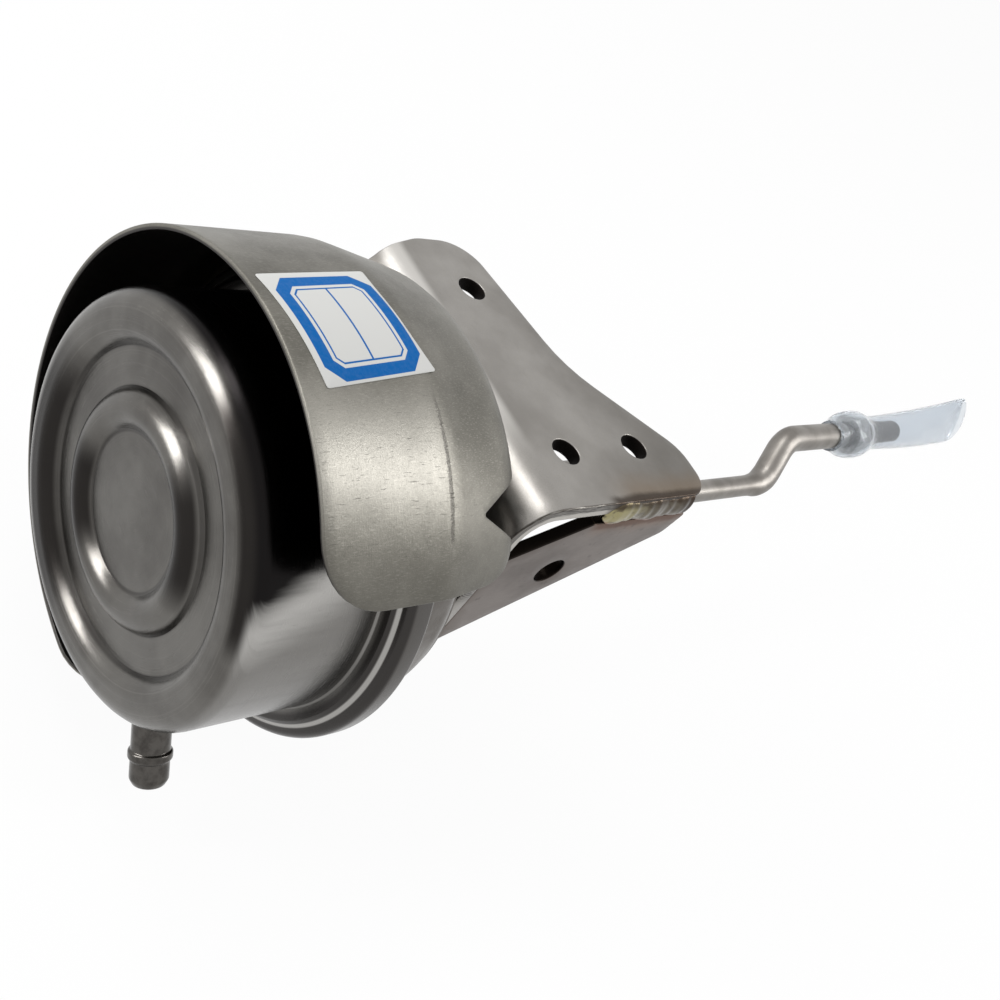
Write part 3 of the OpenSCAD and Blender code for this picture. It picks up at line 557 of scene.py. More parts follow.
m.set(Base_Color=m.mix(hole, steel, (0.012, 0.010, 0.009)),
      Roughness=grain * 0.12 + cloud * 0.16 + pits * 0.1 + hole * 0.3 + 0.17)
m.bump(grain * 0.6 + cloud + pits * 0.4 + sand * 0.4 - scratch * 0.4, 0.00004, 0.5)
finish_piece(bracket, m, "can", "bracket_steel", "bracket")

# Rear shell: the can's rear half, drawn from steel sheet. Its flange is clamped in the seam, its raised
# boss carries shield and bracket, and its neck holds the guide bush.
rear = revolve("rear_shell", dense(rounded([
    (35, 26.2), (39.7, 26.2), (39.7, 27.1), (36, 27.1, 0.4), (36, 39.6, 4), (21, 39.6, 1.6),
    (21, 45.1, 1.5), (6.4, 45.1, 0.6), (6.4, 52.6, 0.4), (5.2, 52.6), (5.2, 44.1), (20, 44.1, 1.2),
    (20, 38.6, 1.0), (35, 38.6, 3)], step=9), 2.0), n=224)
m = Mat("drawn_steel", Metallic=1.0)
u = m.coords("UV")[0]
fine = m.line_noise(u, 110, 4, 0.7)
blotch = m.clouds(0.08)
m.set(Base_Color=m.mix(blotch.step(0.35, 0.7), (0.20, 0.19, 0.18), (0.11, 0.10, 0.09)),
      Roughness=fine * 0.12 + blotch * 0.12 + 0.16)
m.bump(fine, 0.00003, 0.4)
finish_piece(rear, m, "can", "drawn_steel", "rear_housing")

# Hose nipple: a turned steel tube with one rounded collar that holds the pressure hose. It is brazed into
# a hole in the cup's wall, 37.6 degrees from straight down towards the near side.
turn = np.radians(37.6)
nipple_x = 5.0
pipe_axis = np.array([0, -np.sin(turn), -np.cos(turn)])
pipe_frame = (pipe_axis, np.array([1.0, 0, 0]), np.cross(pipe_axis, [1.0, 0, 0]))
nipple = revolve("hose_nipple_tube", dense(rounded([
    (1.8, 32.2), (3.1, 32.2), (3.1, 34.7), (4.2, 34.9, 0.5), (3.3, 36.1, 0.8), (3.3, 41.1, 0.3),
    (3.72, 41.4, 0.5), (3.72, 42.6, 0.5), (3.3, 43.0, 0.3), (3.3, 46.4, 1.0), (2.6, 47.7, 1.0),
    (1.8, 47.7, 0.4)], step=15), 0.8), AXIS + np.array([nipple_x, 0, 0]), pipe_frame, n=72, sharp=50)
m = Mat("nipple_steel", Metallic=1.0)
u = m.coords("UV")[0]
stain = m.clouds(0.5, 5, 0.65)
fine = m.line_noise(u, 60, 3, 0.6)
m.set(Base_Color=m.mix(stain.step(0.35, 0.7), (0.095, 0.089, 0.082), (0.055, 0.051, 0.047)),
      Roughness=stain * 0.1 + fine * 0.08 + 0.13)
m.bump(stain * 0.3 + fine * 0.3, 0.00005, 0.5)
finish_piece(nipple, m, "can", "machined_steel", "hose_nipple")

# Heat shield: 1 mm steel sheet that keeps the turbo's heat off the can. It is cut flat with rounded free
# ends and a relief notch, wrapped round the can and folded in behind it, where the studs clamp it.
shield_r, shield_t = 44.5, 1.0
shield_path = dense(rounded([(shield_r, 2.8), (shield_r, 27.1, 9), (40.0, 46.1, 7), (20.0, 46.1)], step=3),
                    0.4)
shield_s = along(shield_path)
slope = np.gradient(shield_path, shield_s, axis=0)
slope /= np.linalg.norm(slope, axis=1)[:, None]


def shield_point(s, t, w):
    """Point at length s along the section and arc t, w below the outer face: (r cos a, -r sin a) with
    a = t / shield_r. Positive t turns from straight up towards the near side."""
    r = np.interp(s, shield_s, shield_path[:, 0])
    px = np.interp(s, shield_s, shield_path[:, 1])
    nr = np.interp(s, shield_s, slope[:, 1])
    nx = -np.interp(s, shield_s, slope[:, 0])
    r, px = r - nr * w, px - nx * w
    a = t / shield_r
    return AXIS + np.stack([px, -r * np.sin(a), r * np.cos(a)], 1)


def arc_at(angle):
    """Arc at the outer radius of an angle in degrees."""
    return np.radians(angle) * shield_r


notch_at, notch_tip = 42.5, 34.3


def back_edge(r):
    """Arc of the back wall's near edge, a line 5.07 beside the radius through the notch."""
    return arc_at(notch_at - np.degrees(np.arcsin(5.07 / r)))


def section_s(px):
    """Length along the section at px."""
    return float(np.interp(px, shield_path[:, 1], shield_s))


def section_r(px):
    """Radius of the section at px."""
    return float(np.interp(px, shield_path[:, 1], shield_path[:, 0]))


def leg(px, side, corner=0):
    """A point of the V notch: its half width is 0.547 mm to the strip and 0.534 mm to the wall for each mm
    behind the tip."""
    half = (px - notch_tip) * (0.547 if side > 0 else 0.534)
    return (section_s(px), arc_at(notch_at + side * np.degrees(np.arcsin(half / section_r(px)))), corner)


s_end = shield_s[-1]
strip = [(0, arc_at(58.1), 12), (section_s(43.3), arc_at(58.3), 7)]
notch = [leg(43.3, 1, 0.5)] + [leg(v, 1) for v in (41.5, 39.5, 37)] + [leg(notch_tip, 1, 0.4)]
notch += [leg(v, -1) for v in (37, 39.5, 41.5, 42.8, 43.8)]
back = [(s_end - (r - 20.0), back_edge(r), 0) for r in (34, 32, 30, 27, 24, 21.5)]
back += [(s_end, back_edge(20.4), 0), (s_end, arc_at(-191.4), 0), (0, arc_at(-191.4), 12)]
shield_loop = rounded(strip + notch + back, closed=True, step=9)
shield_loop = dense(np.concatenate([shield_loop, shield_loop[:1]]), 1.6)[:-1]
shield = sheet_solid("heat_shield_sheet", [shield_loop], shield_point, shield_t, 0.22, 1.6, sharp=28)
m = Mat("shield_steel", Metallic=1.0)
x, y, z = m.coords()
u, v, _ = m.coords("UV")
r, near, up = m.radius(y, z)
grain = m.noise(m.vec(u * 50, v * 3.5, 0), 1.0, 5, 0.7)
cloud = m.clouds(0.07, 5)
mark = m.noise(m.vec(u * 4, v * 60, 0), 1.0, 2, 0.5).step(0.66, 0.72)
pits = m.clouds(2.5, 3)
# Painted shade: the sheet's inner face on the front part is painted near black
inside = r.step(44.1, 43.8) * x.step(-44.5, -45.5)
sand = m.clouds(6, 2, 0.7)
rub = m.noise(m.vec(x * 1.2, y * 6, z * 6), 1.0, 3, 0.6)
steel = m.mix(cloud.step(0.3, 0.7), (0.205, 0.196, 0.172), (0.125, 0.119, 0.103))
steel = m.mix(rub.step(0.5, 0.72) * 0.4, steel, (0.33, 0.317, 0.283))
# Painted highlight: a bright band on the front part, where the wrap has turned a little towards the near side
bright = near.step(0.12, 0.45) * near.step(0.75, 0.5) * x.step(-43, -49)
steel = m.mix(bright * 0.42, steel, (0.42, 0.405, 0.365))
# Painted shade: darker where the wrap turns down on the near side
steel = m.mix(near.step(0.5, 0.85) * 0.4, steel, (0.09, 0.086, 0.074))
steel = m.mix(mark * 0.4 + sand.step(0.5, 0.7) * 0.35, steel, (0.10, 0.095, 0.084))

# A broken dark line along the soft crease before the shoulder
crease = (x + 45.5 + pits).abs().step(0.5, 0.1) * near.step(0.25, 0.4) * near.step(0.76, 0.70)
crease = crease * (sand * 0.6 + pits).step(0.6, 0.8)
steel = m.mix(crease * 0.6, steel, (0.06, 0.055, 0.05))
# The inner face takes its painted shade here
m.set(Base_Color=m.mix(inside, steel, (0.045, 0.042, 0.04)),
      Roughness=grain * 0.12 + cloud * 0.16 + mark * 0.1 + 0.26)
m.bump(grain * 0.4 + cloud * 2.0 + mark * 0.5 + pits * 0.4 + sand * 0.3 - crease, 0.00008, 0.5)
finish_piece(shield, m, "can", "shield_steel", "heat_shield")

# Label: a square of white paper stuck to the shield, printed blue with a cut-corner band, a thin line
# inside it and a line across the middle. Nothing is written on it.
label_turn, label_half, label_t = np.radians(7), 10.5, 0.15
label_x, label_angle = 16.3, 1.5


def label_point(a, b, w):
    """The square's (a, b), turned by label_turn and laid round the shield, as in shield_point."""
    px = label_x + a * np.cos(label_turn) - b * np.sin(label_turn)
    t = arc_at(label_angle) - a * np.sin(label_turn) - b * np.cos(label_turn)
    r = shield_r + label_t - w
    return AXIS + np.stack([px, -r * np.sin(t / shield_r), r * np.cos(t / shield_r)], 1)


corners = [(a * label_half, b * label_half, 0.4) for a, b in ((1, 1), (-1, 1), (-1, -1), (1, -1))]
square = dense(rounded(corners, closed=True, step=30), 1.5)
label = sheet_solid("label_paper", [square], label_point, label_t, 0.04, 1.5)
m = Mat("label_paper", Metallic=0.0, Specular_IOR_Level=0.12)
u, v, _ = m.coords("UV")

# edge is the distance from the band's outer edge, negative inside it
a, b = (u * 10 + 0.15).abs(), (v * 10 + 0.35).abs()
edge = (a - 9.3).max(b - 9.65).max((a + b - 16.3) * 0.7071)
band = edge.step(0.05, -0.05) * edge.step(-2.1, -2.0)
thin = edge.step(-2.6, -2.68) * edge.step(-2.98, -2.9)
middle = a.step(0.22, 0.14) * edge.step(-2.7, -2.8)
ink = band.max(thin).max(middle)
fibre = m.noise(m.vec(u * 10, v * 10, 0), 1.2, 5, 0.7)
m.set(Base_Color=m.mix((ink * (fibre * 0.12 + 0.93)).min(1), (0.56, 0.56, 0.545), (0.0, 0.10, 0.34)),
      Roughness=fibre * 0.2 + 0.45)
m.bump(fibre, 0.00003, 0.3)
finish_piece(label, m, "can", "label_paper", "label")

# Gusset: 2.5 mm steel plate with one hole that stiffens the bend. It stands square to the mounting plate
# at its near edge, with its sloping top left open under the bend, and is welded to plate and flange.
gusset_x0, gusset_x1, gusset_top, gusset_t = 49.1, 92.3, 24.4, 2.5
eye_x, eye_z, eye_r = 65.2, 10.85, 3.1
gusset_loop = rounded([(gusset_x0, -7.5, 0), (gusset_x1 - 2, gusset_top - 6, 3), (gusset_x1, gusset_top, 1),
                       (gusset_x0 + 17, gusset_top, 6), (gusset_x0, gusset_top - 8, 0)], closed=True, step=10)
gusset_loop = dense(np.concatenate([gusset_loop, gusset_loop[:1]]), 2.0)[:-1]


def gusset_point(a, b, w):
    """a is x and b is z; the outer face lies in the plane of the bracket's near edge."""
    return AXIS + np.stack([a, np.full_like(a, near_y) + w, b], 1)


eye = circle(eye_x, eye_z, eye_r)
gusset = sheet_solid("gusset_sheet", [gusset_loop, eye], gusset_point, gusset_t, 0.25, 2.5)
m = Mat("gusset_steel", Metallic=1.0)
x, y, z = m.coords()
grain = m.noise(m.vec(x * 0.4, y, z * 2.2), 1.0, 5, 0.7)
cloud = m.clouds(0.07)
spots = m.clouds(0.45)
heat = (z * -1 + cloud * 5 - 2).step(11, 3) * x.step(-8, -2)
dx, dz = x - (eye_x + AXIS[0]), z - (eye_z + AXIS[2])
bore = ((dx * dx + dz * dz) ** 0.5).step(eye_r + 0.18, eye_r + 0.05)

# rim is the gusset's top and sloping edge; it and the hole's wall are painted near black, painted shade under
# the bend and inside the hole
rim = z.step(-5.85, -5.65).max((z - x * 0.4706 + 2.73).step(-0.4, -0.15))
steel = m.mix(cloud.step(0.35, 0.7), (0.155, 0.134, 0.121), (0.104, 0.088, 0.079))
steel = m.mix(heat * 0.7, steel, (0.20, 0.10, 0.045))
steel = m.mix((z + spots * 1.4).step(-7.2, -6.2) * x.step(-7, -4) * 0.75, steel, (0.075, 0.03, 0.014))
steel = m.mix(spots.step(0.62, 0.7) * 0.5, steel, (0.05, 0.04, 0.032))
m.set(Base_Color=m.mix(bore.max(rim), steel, (0.015, 0.012, 0.010)),
      Roughness=grain * 0.14 + cloud * 0.15 + 0.24)
m.bump(grain * 0.5 + cloud, 0.00005, 0.5)
finish_piece(gusset, m, "can", "bracket_steel", "gusset")

# Welds: steel run on beside the gusset, a long rippled bead over the plate's edge and the gap below it,
# and a short one between gusset and flange. The heat leaves them gold, brown and black.
def tube(name, path, radius, n=40, sharp=40):
    """A bar along path: path + radius * (cos a * side + sin a * other). side is carried from ring to ring and
    kept square to the path. radius is one value a ring, or an array (rings, n) of values round each ring."""
    path = np.asarray(path, float)
    tangent = np.gradient(path, axis=0)
    same = np.linalg.norm(tangent, axis=1) < 1e-9
    tangent[same] = tangent[np.argmax(~same)]
    tangent /= np.linalg.norm(tangent, axis=1)[:, None]
    side = np.empty_like(path)
    carried = np.cross(tangent[0], [0, 0, 1.0] if abs(tangent[0, 2]) < 0.9 else [0, 1.0, 0])
    for k, t in enumerate(tangent):
        carried = carried - t * (carried @ t)
        carried /= np.linalg.norm(carried)
        side[k] = carried
    other = np.cross(tangent, side)
    angle = np.arange(n) * 2 * np.pi / n
    radius = np.asarray(radius, float).reshape(len(path), -1, 1)
    ring = np.cos(angle)[:, None] * side[:, None] + np.sin(angle)[:, None] * other[:, None]
    verts = (path[:, None] + ring * radius).reshape(-1, 3)
    uv = np.stack(np.broadcast_arrays(along(path)[:, None] / 10, angle / (2 * np.pi)), 2).reshape(-1, 2)
    return outward(new_object(name, verts, ring_faces(len(path), n, "capped"), uv, sharp))


bead_x = np.linspace(66.8, 91.2, 170)
bead_n = 32
bead_a = np.arange(bead_n) * 2 * np.pi / bead_n
ripple = 0.05 * np.sin(bead_x * 1.9) + 0.10 * np.sin(bead_x * 0.8 + 1) + 0.03 * np.sin(bead_x * 3.1)
ends = np.sqrt(np.clip(np.minimum((bead_x - 66.6) / 2.2, (91.3 - bead_x) / 1.6), 0, 1))
tall = (2.75 + 0.18 * np.sin(bead_x * 0.62 + 2) + ripple) * ends
deep = (1.25 + ripple * 1.3) * ends
mid_z = 26.85 + 0.16 * np.sin(bead_x * 0.45)
ring_y = -28.35 - deep[:, None] * np.cos(bead_a)
ring_z = mid_z[:, None] + tall[:, None] * np.sin(bead_a)
verts = np.stack(np.broadcast_arrays(bead_x[:, None], ring_y, ring_z), 2).reshape(-1, 3) + AXIS
faces = ring_faces(len(bead_x), bead_n, "capped")
bead = outward(new_object("weld_bead_plate", verts, faces, verts[:, :2] / 10, 60))
corner_z = np.linspace(0.5, 13.5, 60)
corner_ends = np.sqrt(np.clip(np.minimum((corner_z - 0.2) / 2, (13.8 - corner_z) / 2), 0, 1))
corner_r = (1.15 + 0.12 * np.abs(np.sin(corner_z * 2.4))) * corner_ends
corner_path = AXIS + np.stack(np.broadcast_arrays(49.5, -25.9, corner_z), 1)
corner = tube("weld_bead_flange", corner_path, corner_r, n=20)
m = Mat("weld_steel", Metallic=1.0)
x, y, z = m.coords()
soot = m.noise(m.vec(x * 0.22, y * 0.35, z * 0.35), 1.0, 4, 0.55)
patch = m.noise(m.vec(x * 0.3 + z * 0.25, y * 0.3, z * 0.5), 1.0, 3, 0.5, 1.0)
gold = (x * -1 + patch * 14 - 6).step(-6, 4)
steel = m.mix(gold, (0.115, 0.10, 0.078), (0.30, 0.27, 0.145))
steel = m.mix(patch.step(0.52, 0.66) * 0.7, steel, (0.075, 0.06, 0.048))
steel = m.mix((x + patch * 3).step(14.5, 18.0) * 0.9, steel, (0.03, 0.018, 0.012))
upper, lower = (z + patch * 1.2).step(-1.2, -0.1), (z + patch * 1.2).step(-3.9, -4.9)
steel = m.mix(upper * 0.8, steel, (0.05, 0.036, 0.026))
steel = m.mix(lower * 0.7, steel, (0.17, 0.055, 0.022))
m.set(Base_Color=m.mix(soot.step(0.55, 0.68) * 0.6, steel, (0.05, 0.04, 0.03)), Roughness=soot * 0.2 + 0.2)
m.bump(soot, 0.0001, 0.4)
finish_piece(bead, m, "can", "weld_steel", "weld_beads")
finish_piece(corner, m, "can", "weld_steel")

# Rod: a ground steel bar with a head riveted over washer and piston plate, a hidden dip, a visible S-bend
# and a thicker end for the thread. Both bends lie in one plane, 38 degrees from upright.
bend_turn, bend_radius = np.radians(53), 8.0
lean = np.radians(38)
bend_off = bend_radius * (1 - np.cos(bend_turn))


def bend_points(x0, h0, step):
    """Centre line of an S-bend from (x0, h0) that steps by step across the rod: an arc, a straight link and
    the same arc turned back."""
    sign, link = np.sign(step), (abs(step) - 2 * bend_off) / np.sin(bend_turn)
    a = np.linspace(0, bend_turn, 14)
    first = np.stack([x0 + bend_radius * np.sin(a), h0 + sign * bend_radius * (1 - np.cos(a))], 1)
    p = first[-1] + link * np.array([np.cos(bend_turn), sign * np.sin(bend_turn)])
    second = p + bend_radius * np.stack([np.sin(bend_turn) - np.sin(bend_turn - a),
                                         sign * (np.cos(bend_turn - a) - np.cos(bend_turn))], 1)
    return np.concatenate([first, second])


rod_r, head_r, neck_r, end_r, thread_r = 2.6, 4.45, 2.15, 3.4, 3.0
dip_h, end_h, thread_len = -7.6, 3.6, 29.2
dip = bend_points(102.1, 0.0, dip_h)
rise = bend_points(171.0, dip_h, end_h - dip_h)
thread_0 = rise[-1, 0] + 22.5
thread_1 = thread_0 + thread_len

# Points (x, height in the bends' plane, radius) from the riveted head to the thread's start
line = [(3.2, 0, 3.9), (3.3, 0, 4.2), (4.9, 0, head_r), (5.0, 0, neck_r), (8.4, 0, neck_r), (8.4, 0, head_r),
        (10.3, 0, head_r), (10.4, 0, rod_r)]
line += [(v, 0, rod_r) for v in np.linspace(14, 100, 20)]
line += [(a, b, rod_r) for a, b in dip]
line += [(v, dip_h, rod_r) for v in np.linspace(dip[-1, 0] + 2, 165, 10)]
line += [(167.0, dip_h, rod_r), (169.0, dip_h, 2.65), (170.3, dip_h, 2.85)]
line += [(a, b, np.interp(a, [171, 175.5], [2.95, end_r])) for a, b in rise]
line += [(v, end_h, end_r) for v in np.linspace(rise[-1, 0] + 1, thread_0 - 0.3, 8)]
line = np.array(line + [(thread_0, end_h, thread_r)])


def bend_plane(px, h):
    """Point at px and height h in the plane that leans by lean."""
    return AXIS + np.stack([px, h * np.sin(lean), h * np.cos(lean)], 1)


bar = tube("rod_bar", bend_plane(line[:, 0], line[:, 1]), line[:, 2], n=56, sharp=30)
m = Mat("rod_steel", Metallic=1.0)
u, v, _ = m.coords("UV")
draw = m.noise(m.vec(u * 0.6, v * 40, 0), 1.0, 4, 0.65)
cloud = m.clouds(0.12)
m.set(Base_Color=m.mix(cloud.step(0.3, 0.7), (0.26, 0.245, 0.226), (0.175, 0.162, 0.147)),
      Roughness=draw * 0.14 + cloud * 0.12 + 0.26)
m.bump(draw, 0.00003, 0.5)
finish_piece(bar, m, "rod", "rod_steel", "rod")

# Thread: M6 by 1, cut into the rod's thick end and left dark and oily. The radius follows a rounded V along
# a helix, by the part of the phase x / pitch - a / (2 pi) after its whole turns, and fades at both ends.
def stained(name, grain, band, clean, worn, rough, bump, metal=1.0):
    """A plain finish: clouds turn clean into worn over the band, tilt the surface, and give the roughness
    rough[0] * cloud + rough[1]."""
    m = Mat(name, Metallic=metal)
    cloud = m.clouds(grain)
    m.set(Base_Color=m.mix(cloud.step(*band), clean, worn), Roughness=cloud * rough[0] + rough[1])
    return m.bump(cloud, *bump)


thread_n, thread_deep = 64, 0.58
thread_x = np.linspace(thread_0 - 0.05, thread_1, 430)
angle = np.arange(thread_n) * 2 * np.pi / thread_n
phase = (thread_x[:, None] - thread_0) - angle / (2 * np.pi)
wave = 1 - np.abs(2 * (phase - np.floor(phase)) - 1)
fade = np.clip((thread_x - thread_0 - 0.6) / 1.5, 0, 1) * np.clip((thread_1 - 0.3 - thread_x) / 0.8, 0, 1)
depth = thread_deep * fade[:, None] * np.clip(wave * 1.25 - 0.12, 0, 1)
tip = 0.8 * np.clip(1 - (thread_1 - thread_x) / 0.8, 0, 1)
thread_path = bend_plane(thread_x, np.full_like(thread_x, end_h))
thread = tube("rod_thread", thread_path, thread_r - 0.01 - depth - tip[:, None], n=thread_n, sharp=60)
m = stained("thread_steel", 0.6, (0.4, 0.65), (0.06, 0.052, 0.044), (0.02, 0.017, 0.014), (0.25, 0.18),
            (0.00005, 0.4))
finish_piece(thread, m, "rod", "rod_steel")

# Jam nut: an M6 steel nut, 10 across its flats. It sits on the rod's thread inside the sleeve and locks the
# rod end that is screwed on when the actuator is fitted.
def hex_nut(name, px, height, flats, bore, centre, n=96):
    """A hexagon nut along x: (r cos a, r sin a), where r is the hexagon's flats / 2 / cos of the angle from
    the nearest flat's middle, limited at both faces by the 30-degree chamfers."""
    angle = np.arange(n) * 2 * np.pi / n
    hexagon = flats / 2 / np.cos((angle + np.pi / 6) % (np.pi / 3) - np.pi / 6)
    start = np.array([0, 0.12, 0.24, 0.36, 0.5, 0.7])
    levels = np.concatenate([start, height - start[::-1]])
    from_face = np.minimum(levels, height - levels)
    outer = np.minimum(hexagon, flats / 2 * 0.955 + from_face[:, None] * 1.9)
    mouth, hole = np.full((1, n), bore + 0.45), np.full((2, n), bore)
    r = np.concatenate([mouth, outer, mouth, hole])
    x = px + np.concatenate([[0], levels, [height, height - 0.5, 0.5]])[:, None]
    verts = np.stack(np.broadcast_arrays(x, r * np.cos(angle), r * np.sin(angle)), 2).reshape(-1, 3) + centre
    return outward(new_object(name, verts, ring_faces(len(r), n, "joined"), verts[:, :2] / 10, 25))


nut_height, nut_flats = 5.0, 10.0
end_line = AXIS + np.array([0, end_h * np.sin(lean), end_h * np.cos(lean)])
nut = hex_nut("jam_nut_hex", thread_0 + 3, nut_height, nut_flats, 3.05, end_line)
m = stained("nut_steel", 0.6, (0.4, 0.65), (0.42, 0.41, 0.39), (0.27, 0.255, 0.235), (0.2, 0.2),
            (0.00005, 0.4))
finish_piece(nut, m, "jam_nut", "machined_steel", "jam_nut")

# Thread sleeve: a clear soft plastic tube that guards the thread until the actuator is fitted. It is pushed
# on and stretched over the nut, and its free end is squashed to a slanting flat oval.
sleeve_wall_t, sleeve_n, sleeve_turn = 0.65, 72, np.radians(68)

# Sections along the sleeve: x, half width, half depth, lift of the middle
sections = np.array([
    (205.2, 4.15, 4.15, 0), (205.7, 4.25, 4.25, 0), (207.4, 4.6, 4.6, 0), (209.2, 5.2, 5.2, 0),
    (211.2, 6.1, 6.1, 0), (213.7, 6.5, 6.5, 0), (216.7, 6.5, 6.5, 0), (218.9, 6.0, 6.0, 0),
    (220.6, 5.2, 5.2, 0), (222.7, 4.75, 4.75, 0), (225.7, 4.7, 4.65, 0), (231.7, 4.9, 4.7, 0),
    (239.7, 5.35, 4.6, 0.1), (249.7, 6.0, 4.05, 0.7), (259.7, 6.7, 3.2, 1.6), (269.7, 7.3, 2.2, 2.6),
    (273.6, 7.45, 1.85, 2.9), (275.6, 7.2, 1.65, 3.0), (277.0, 6.5, 1.5, 3.0), (278.0, 5.5, 1.35, 3.0),
    (278.7, 4.3, 1.1, 3.0), (279.0, 3.2, 0.8, 3.0)])
sleeve_x = np.concatenate([np.linspace(sections[0, 0], 274.8, 120), np.linspace(275.1, sections[-1, 0], 20)])
inner_rings = 118


def smooth_column(k):
    """Column k between the sections, averaged over five rings with weights 1, 4, 6, 4, 1."""
    q = np.interp(sleeve_x, sections[:, 0], sections[:, k])
    return np.concatenate([q[:2], np.convolve(q, np.array([1, 4, 6, 4, 1]) / 16, "valid"), q[-2:]])


half_wide, half_deep, lift = (smooth_column(k) for k in (1, 2, 3))
wide_dir = np.array([0, np.cos(sleeve_turn), np.sin(sleeve_turn)])
thin_dir = np.array([0, -np.sin(sleeve_turn), np.cos(sleeve_turn)])
angle = np.arange(sleeve_n) * 2 * np.pi / sleeve_n
soft = np.clip((sleeve_x[:, None] - 222) / 20, 0, 1)
wobble = 1 + 0.012 * np.sin(3 * angle + sleeve_x[:, None] * 0.12) * soft


def sleeve_rings(inset):
    """Ovals middle + wide * cos a + thin * sin a, inset from the outer wall; the free end slants back by up
    to 1.8 on the side where cos a is 1."""
    a = (half_wide - inset)[:, None] * wobble * np.cos(angle)
    b = np.maximum(half_deep - inset, 0.5)[:, None] * wobble * np.sin(angle)
    ring = a[..., None] * wide_dir + b[..., None] * thin_dir
    ring[..., 0] -= np.clip((sleeve_x[:, None] - 262) / 12, 0, 1) * 0.9 * (1 + np.cos(angle))
    return (end_line + np.stack([sleeve_x, 0 * sleeve_x, lift], 1))[:, None] + ring


# One skin: up the outer wall from the closed end to the mouth and back along the inner wall
verts = np.concatenate([sleeve_rings(0.0)[::-1], sleeve_rings(sleeve_wall_t)[:inner_rings]])
faces = ring_faces(len(verts), sleeve_n, "capped")
verts = verts.reshape(-1, 3)
sleeve = outward(new_object("thread_sleeve_tube", verts, faces, verts[:, :2] / 10, 50))
m = Mat("clear_vinyl", Transmission_Weight=0.88, IOR=1.22)
x, y, z = m.coords()
haze = m.noise(m.vec(x * 0.12, y * 0.25, z * 0.25), 1.0, 2, 0.5)
m.set(Base_Color=m.mix(haze, (0.82, 0.85, 0.885), (0.72, 0.76, 0.80)), Roughness=haze * 0.12 + 0.05)
m.bump(haze, 0.0003, 0.4)
finish_piece(sleeve, m, "thread_sleeve", "clear_vinyl", "thread_sleeve")

# Studs: two steel studs welded to the rear shell's boss, through shield and bracket. Each has a turned
# washer and an M6 nut behind the flange, and together they hold the can, the shield and the bracket.
studs, nuts, washers = [], [], []
for k, side in enumerate((-13.5, 13.5)):
    place = AXIS + np.array([0, side, 0])
    studs.append(revolve("stud_%d" % k, dense(rounded([
        (0, 42.6), (4.5, 42.6, 0.3), (4.5, 44.1), (2.99, 44.1), (2.99, 57.5, 0.3), (2.4, 58.1),
        (0, 58.1)]), 1.0), place, n=48))
    washers.append(revolve("stud_washer_%d" % k, rounded([
        (3.2, 49.1), (6.1, 49.1, 0.25), (6.1, 50.1, 0.25), (3.2, 50.1)]), place, n=64))
    nuts.append(hex_nut("stud_nut_%d" % k, 50.1, nut_height, nut_flats, 3.0, place))
m = stained("stud_steel", 0.5, (0.4, 0.65), (0.46, 0.445, 0.42), (0.30, 0.28, 0.25), (0.25, 0.2),
            (0.00006, 0.5))
for group, node in ((studs, "mounting_studs"), (nuts, "stud_nuts"), (washers, "stud_washers")):
    for k, obj in enumerate(group):
        finish_piece(obj, m, "can", "machined_steel", *([node] if k == 0 else []))

# Diaphragm: moulded black rubber with one rolled fold, its rim clamped in the seam.
fold_r, fold_x = 32.0, 28.3
half_turn = np.linspace(np.pi, 0, 17)
fold_dir = np.stack([np.cos(half_turn), np.sin(half_turn)], 1)
fold_in = (fold_r, fold_x) + 1.1 * fold_dir
fold_out = ((fold_r, fold_x) + 1.9 * fold_dir)[::-1]
skin = revolve("diaphragm_skin", dense(np.concatenate([
    [(2.2, 6.4), (30.3, 6.4), (30.9, 7.0)], fold_in, [(33.1, 24.9), (39.7, 24.9), (39.7, 26.1), (33.9, 26.1)],
    fold_out, [(30.1, 7.2), (2.2, 7.2)]]), 2.0), n=128)
m = stained("diaphragm_rubber", 0.5, (0.4, 0.7), (0.018, 0.018, 0.018), (0.035, 0.034, 0.033), (0.2, 0.5),
            (0.00008, 0.5), metal=0.0)
finish_piece(skin, m, "can", "diaphragm_rubber", "diaphragm")
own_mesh(skin)

# Return spring: oiled round wire, wound in four and a half turns with flat end turns, between piston plate
# and spring seat.
spring_turns, spring_r, wire_r, spring_x, spring_len = 4.5, 25.4, 1.37, 9.8, 26.6
wire_a = np.linspace(0, spring_turns * 2 * np.pi, 240)
wire_x = spring_x + spring_len * np.clip((wire_a / (2 * np.pi) - 0.5) / (spring_turns - 1), 0, 1)
wire_path = AXIS + np.stack([wire_x, spring_r * np.cos(wire_a), spring_r * np.sin(wire_a)], 1)
coil = tube("return_spring_wire", wire_path, np.full(len(wire_a), wire_r), n=20)
m = stained("spring_steel", 0.5, (0.4, 0.7), (0.25, 0.25, 0.26), (0.15, 0.15, 0.155), (0.2, 0.25),
            (0.00005, 0.4))
finish_piece(coil, m, "can", "spring_steel", "return_spring")
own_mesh(coil)

# Inner pieces: piston plate, retainer washer and spring seat are pressed steel with yellow zinc, and the
# guide bush is sintered bronze. They are hidden inside the can and keep their CAD shapes.
zinc, bronze = (0.55, 0.50, 0.32), (0.45, 0.30, 0.16)
for node, colour, slot in (("piston_plate", zinc, "plated_steel"), ("retainer_washer", zinc, "plated_steel"),
                           ("spring_seat", zinc, "plated_steel"), ("guide_bush", bronze, "bronze")):
    worn = tuple(c * 0.7 for c in colour)
    m = stained("inner_" + node, 0.3, (0.4, 0.7), colour, worn, (0.2, 0.2), (0.00005, 0.4))
    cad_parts[node].data.materials.clear()
    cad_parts[node].data.materials.append(m.m)

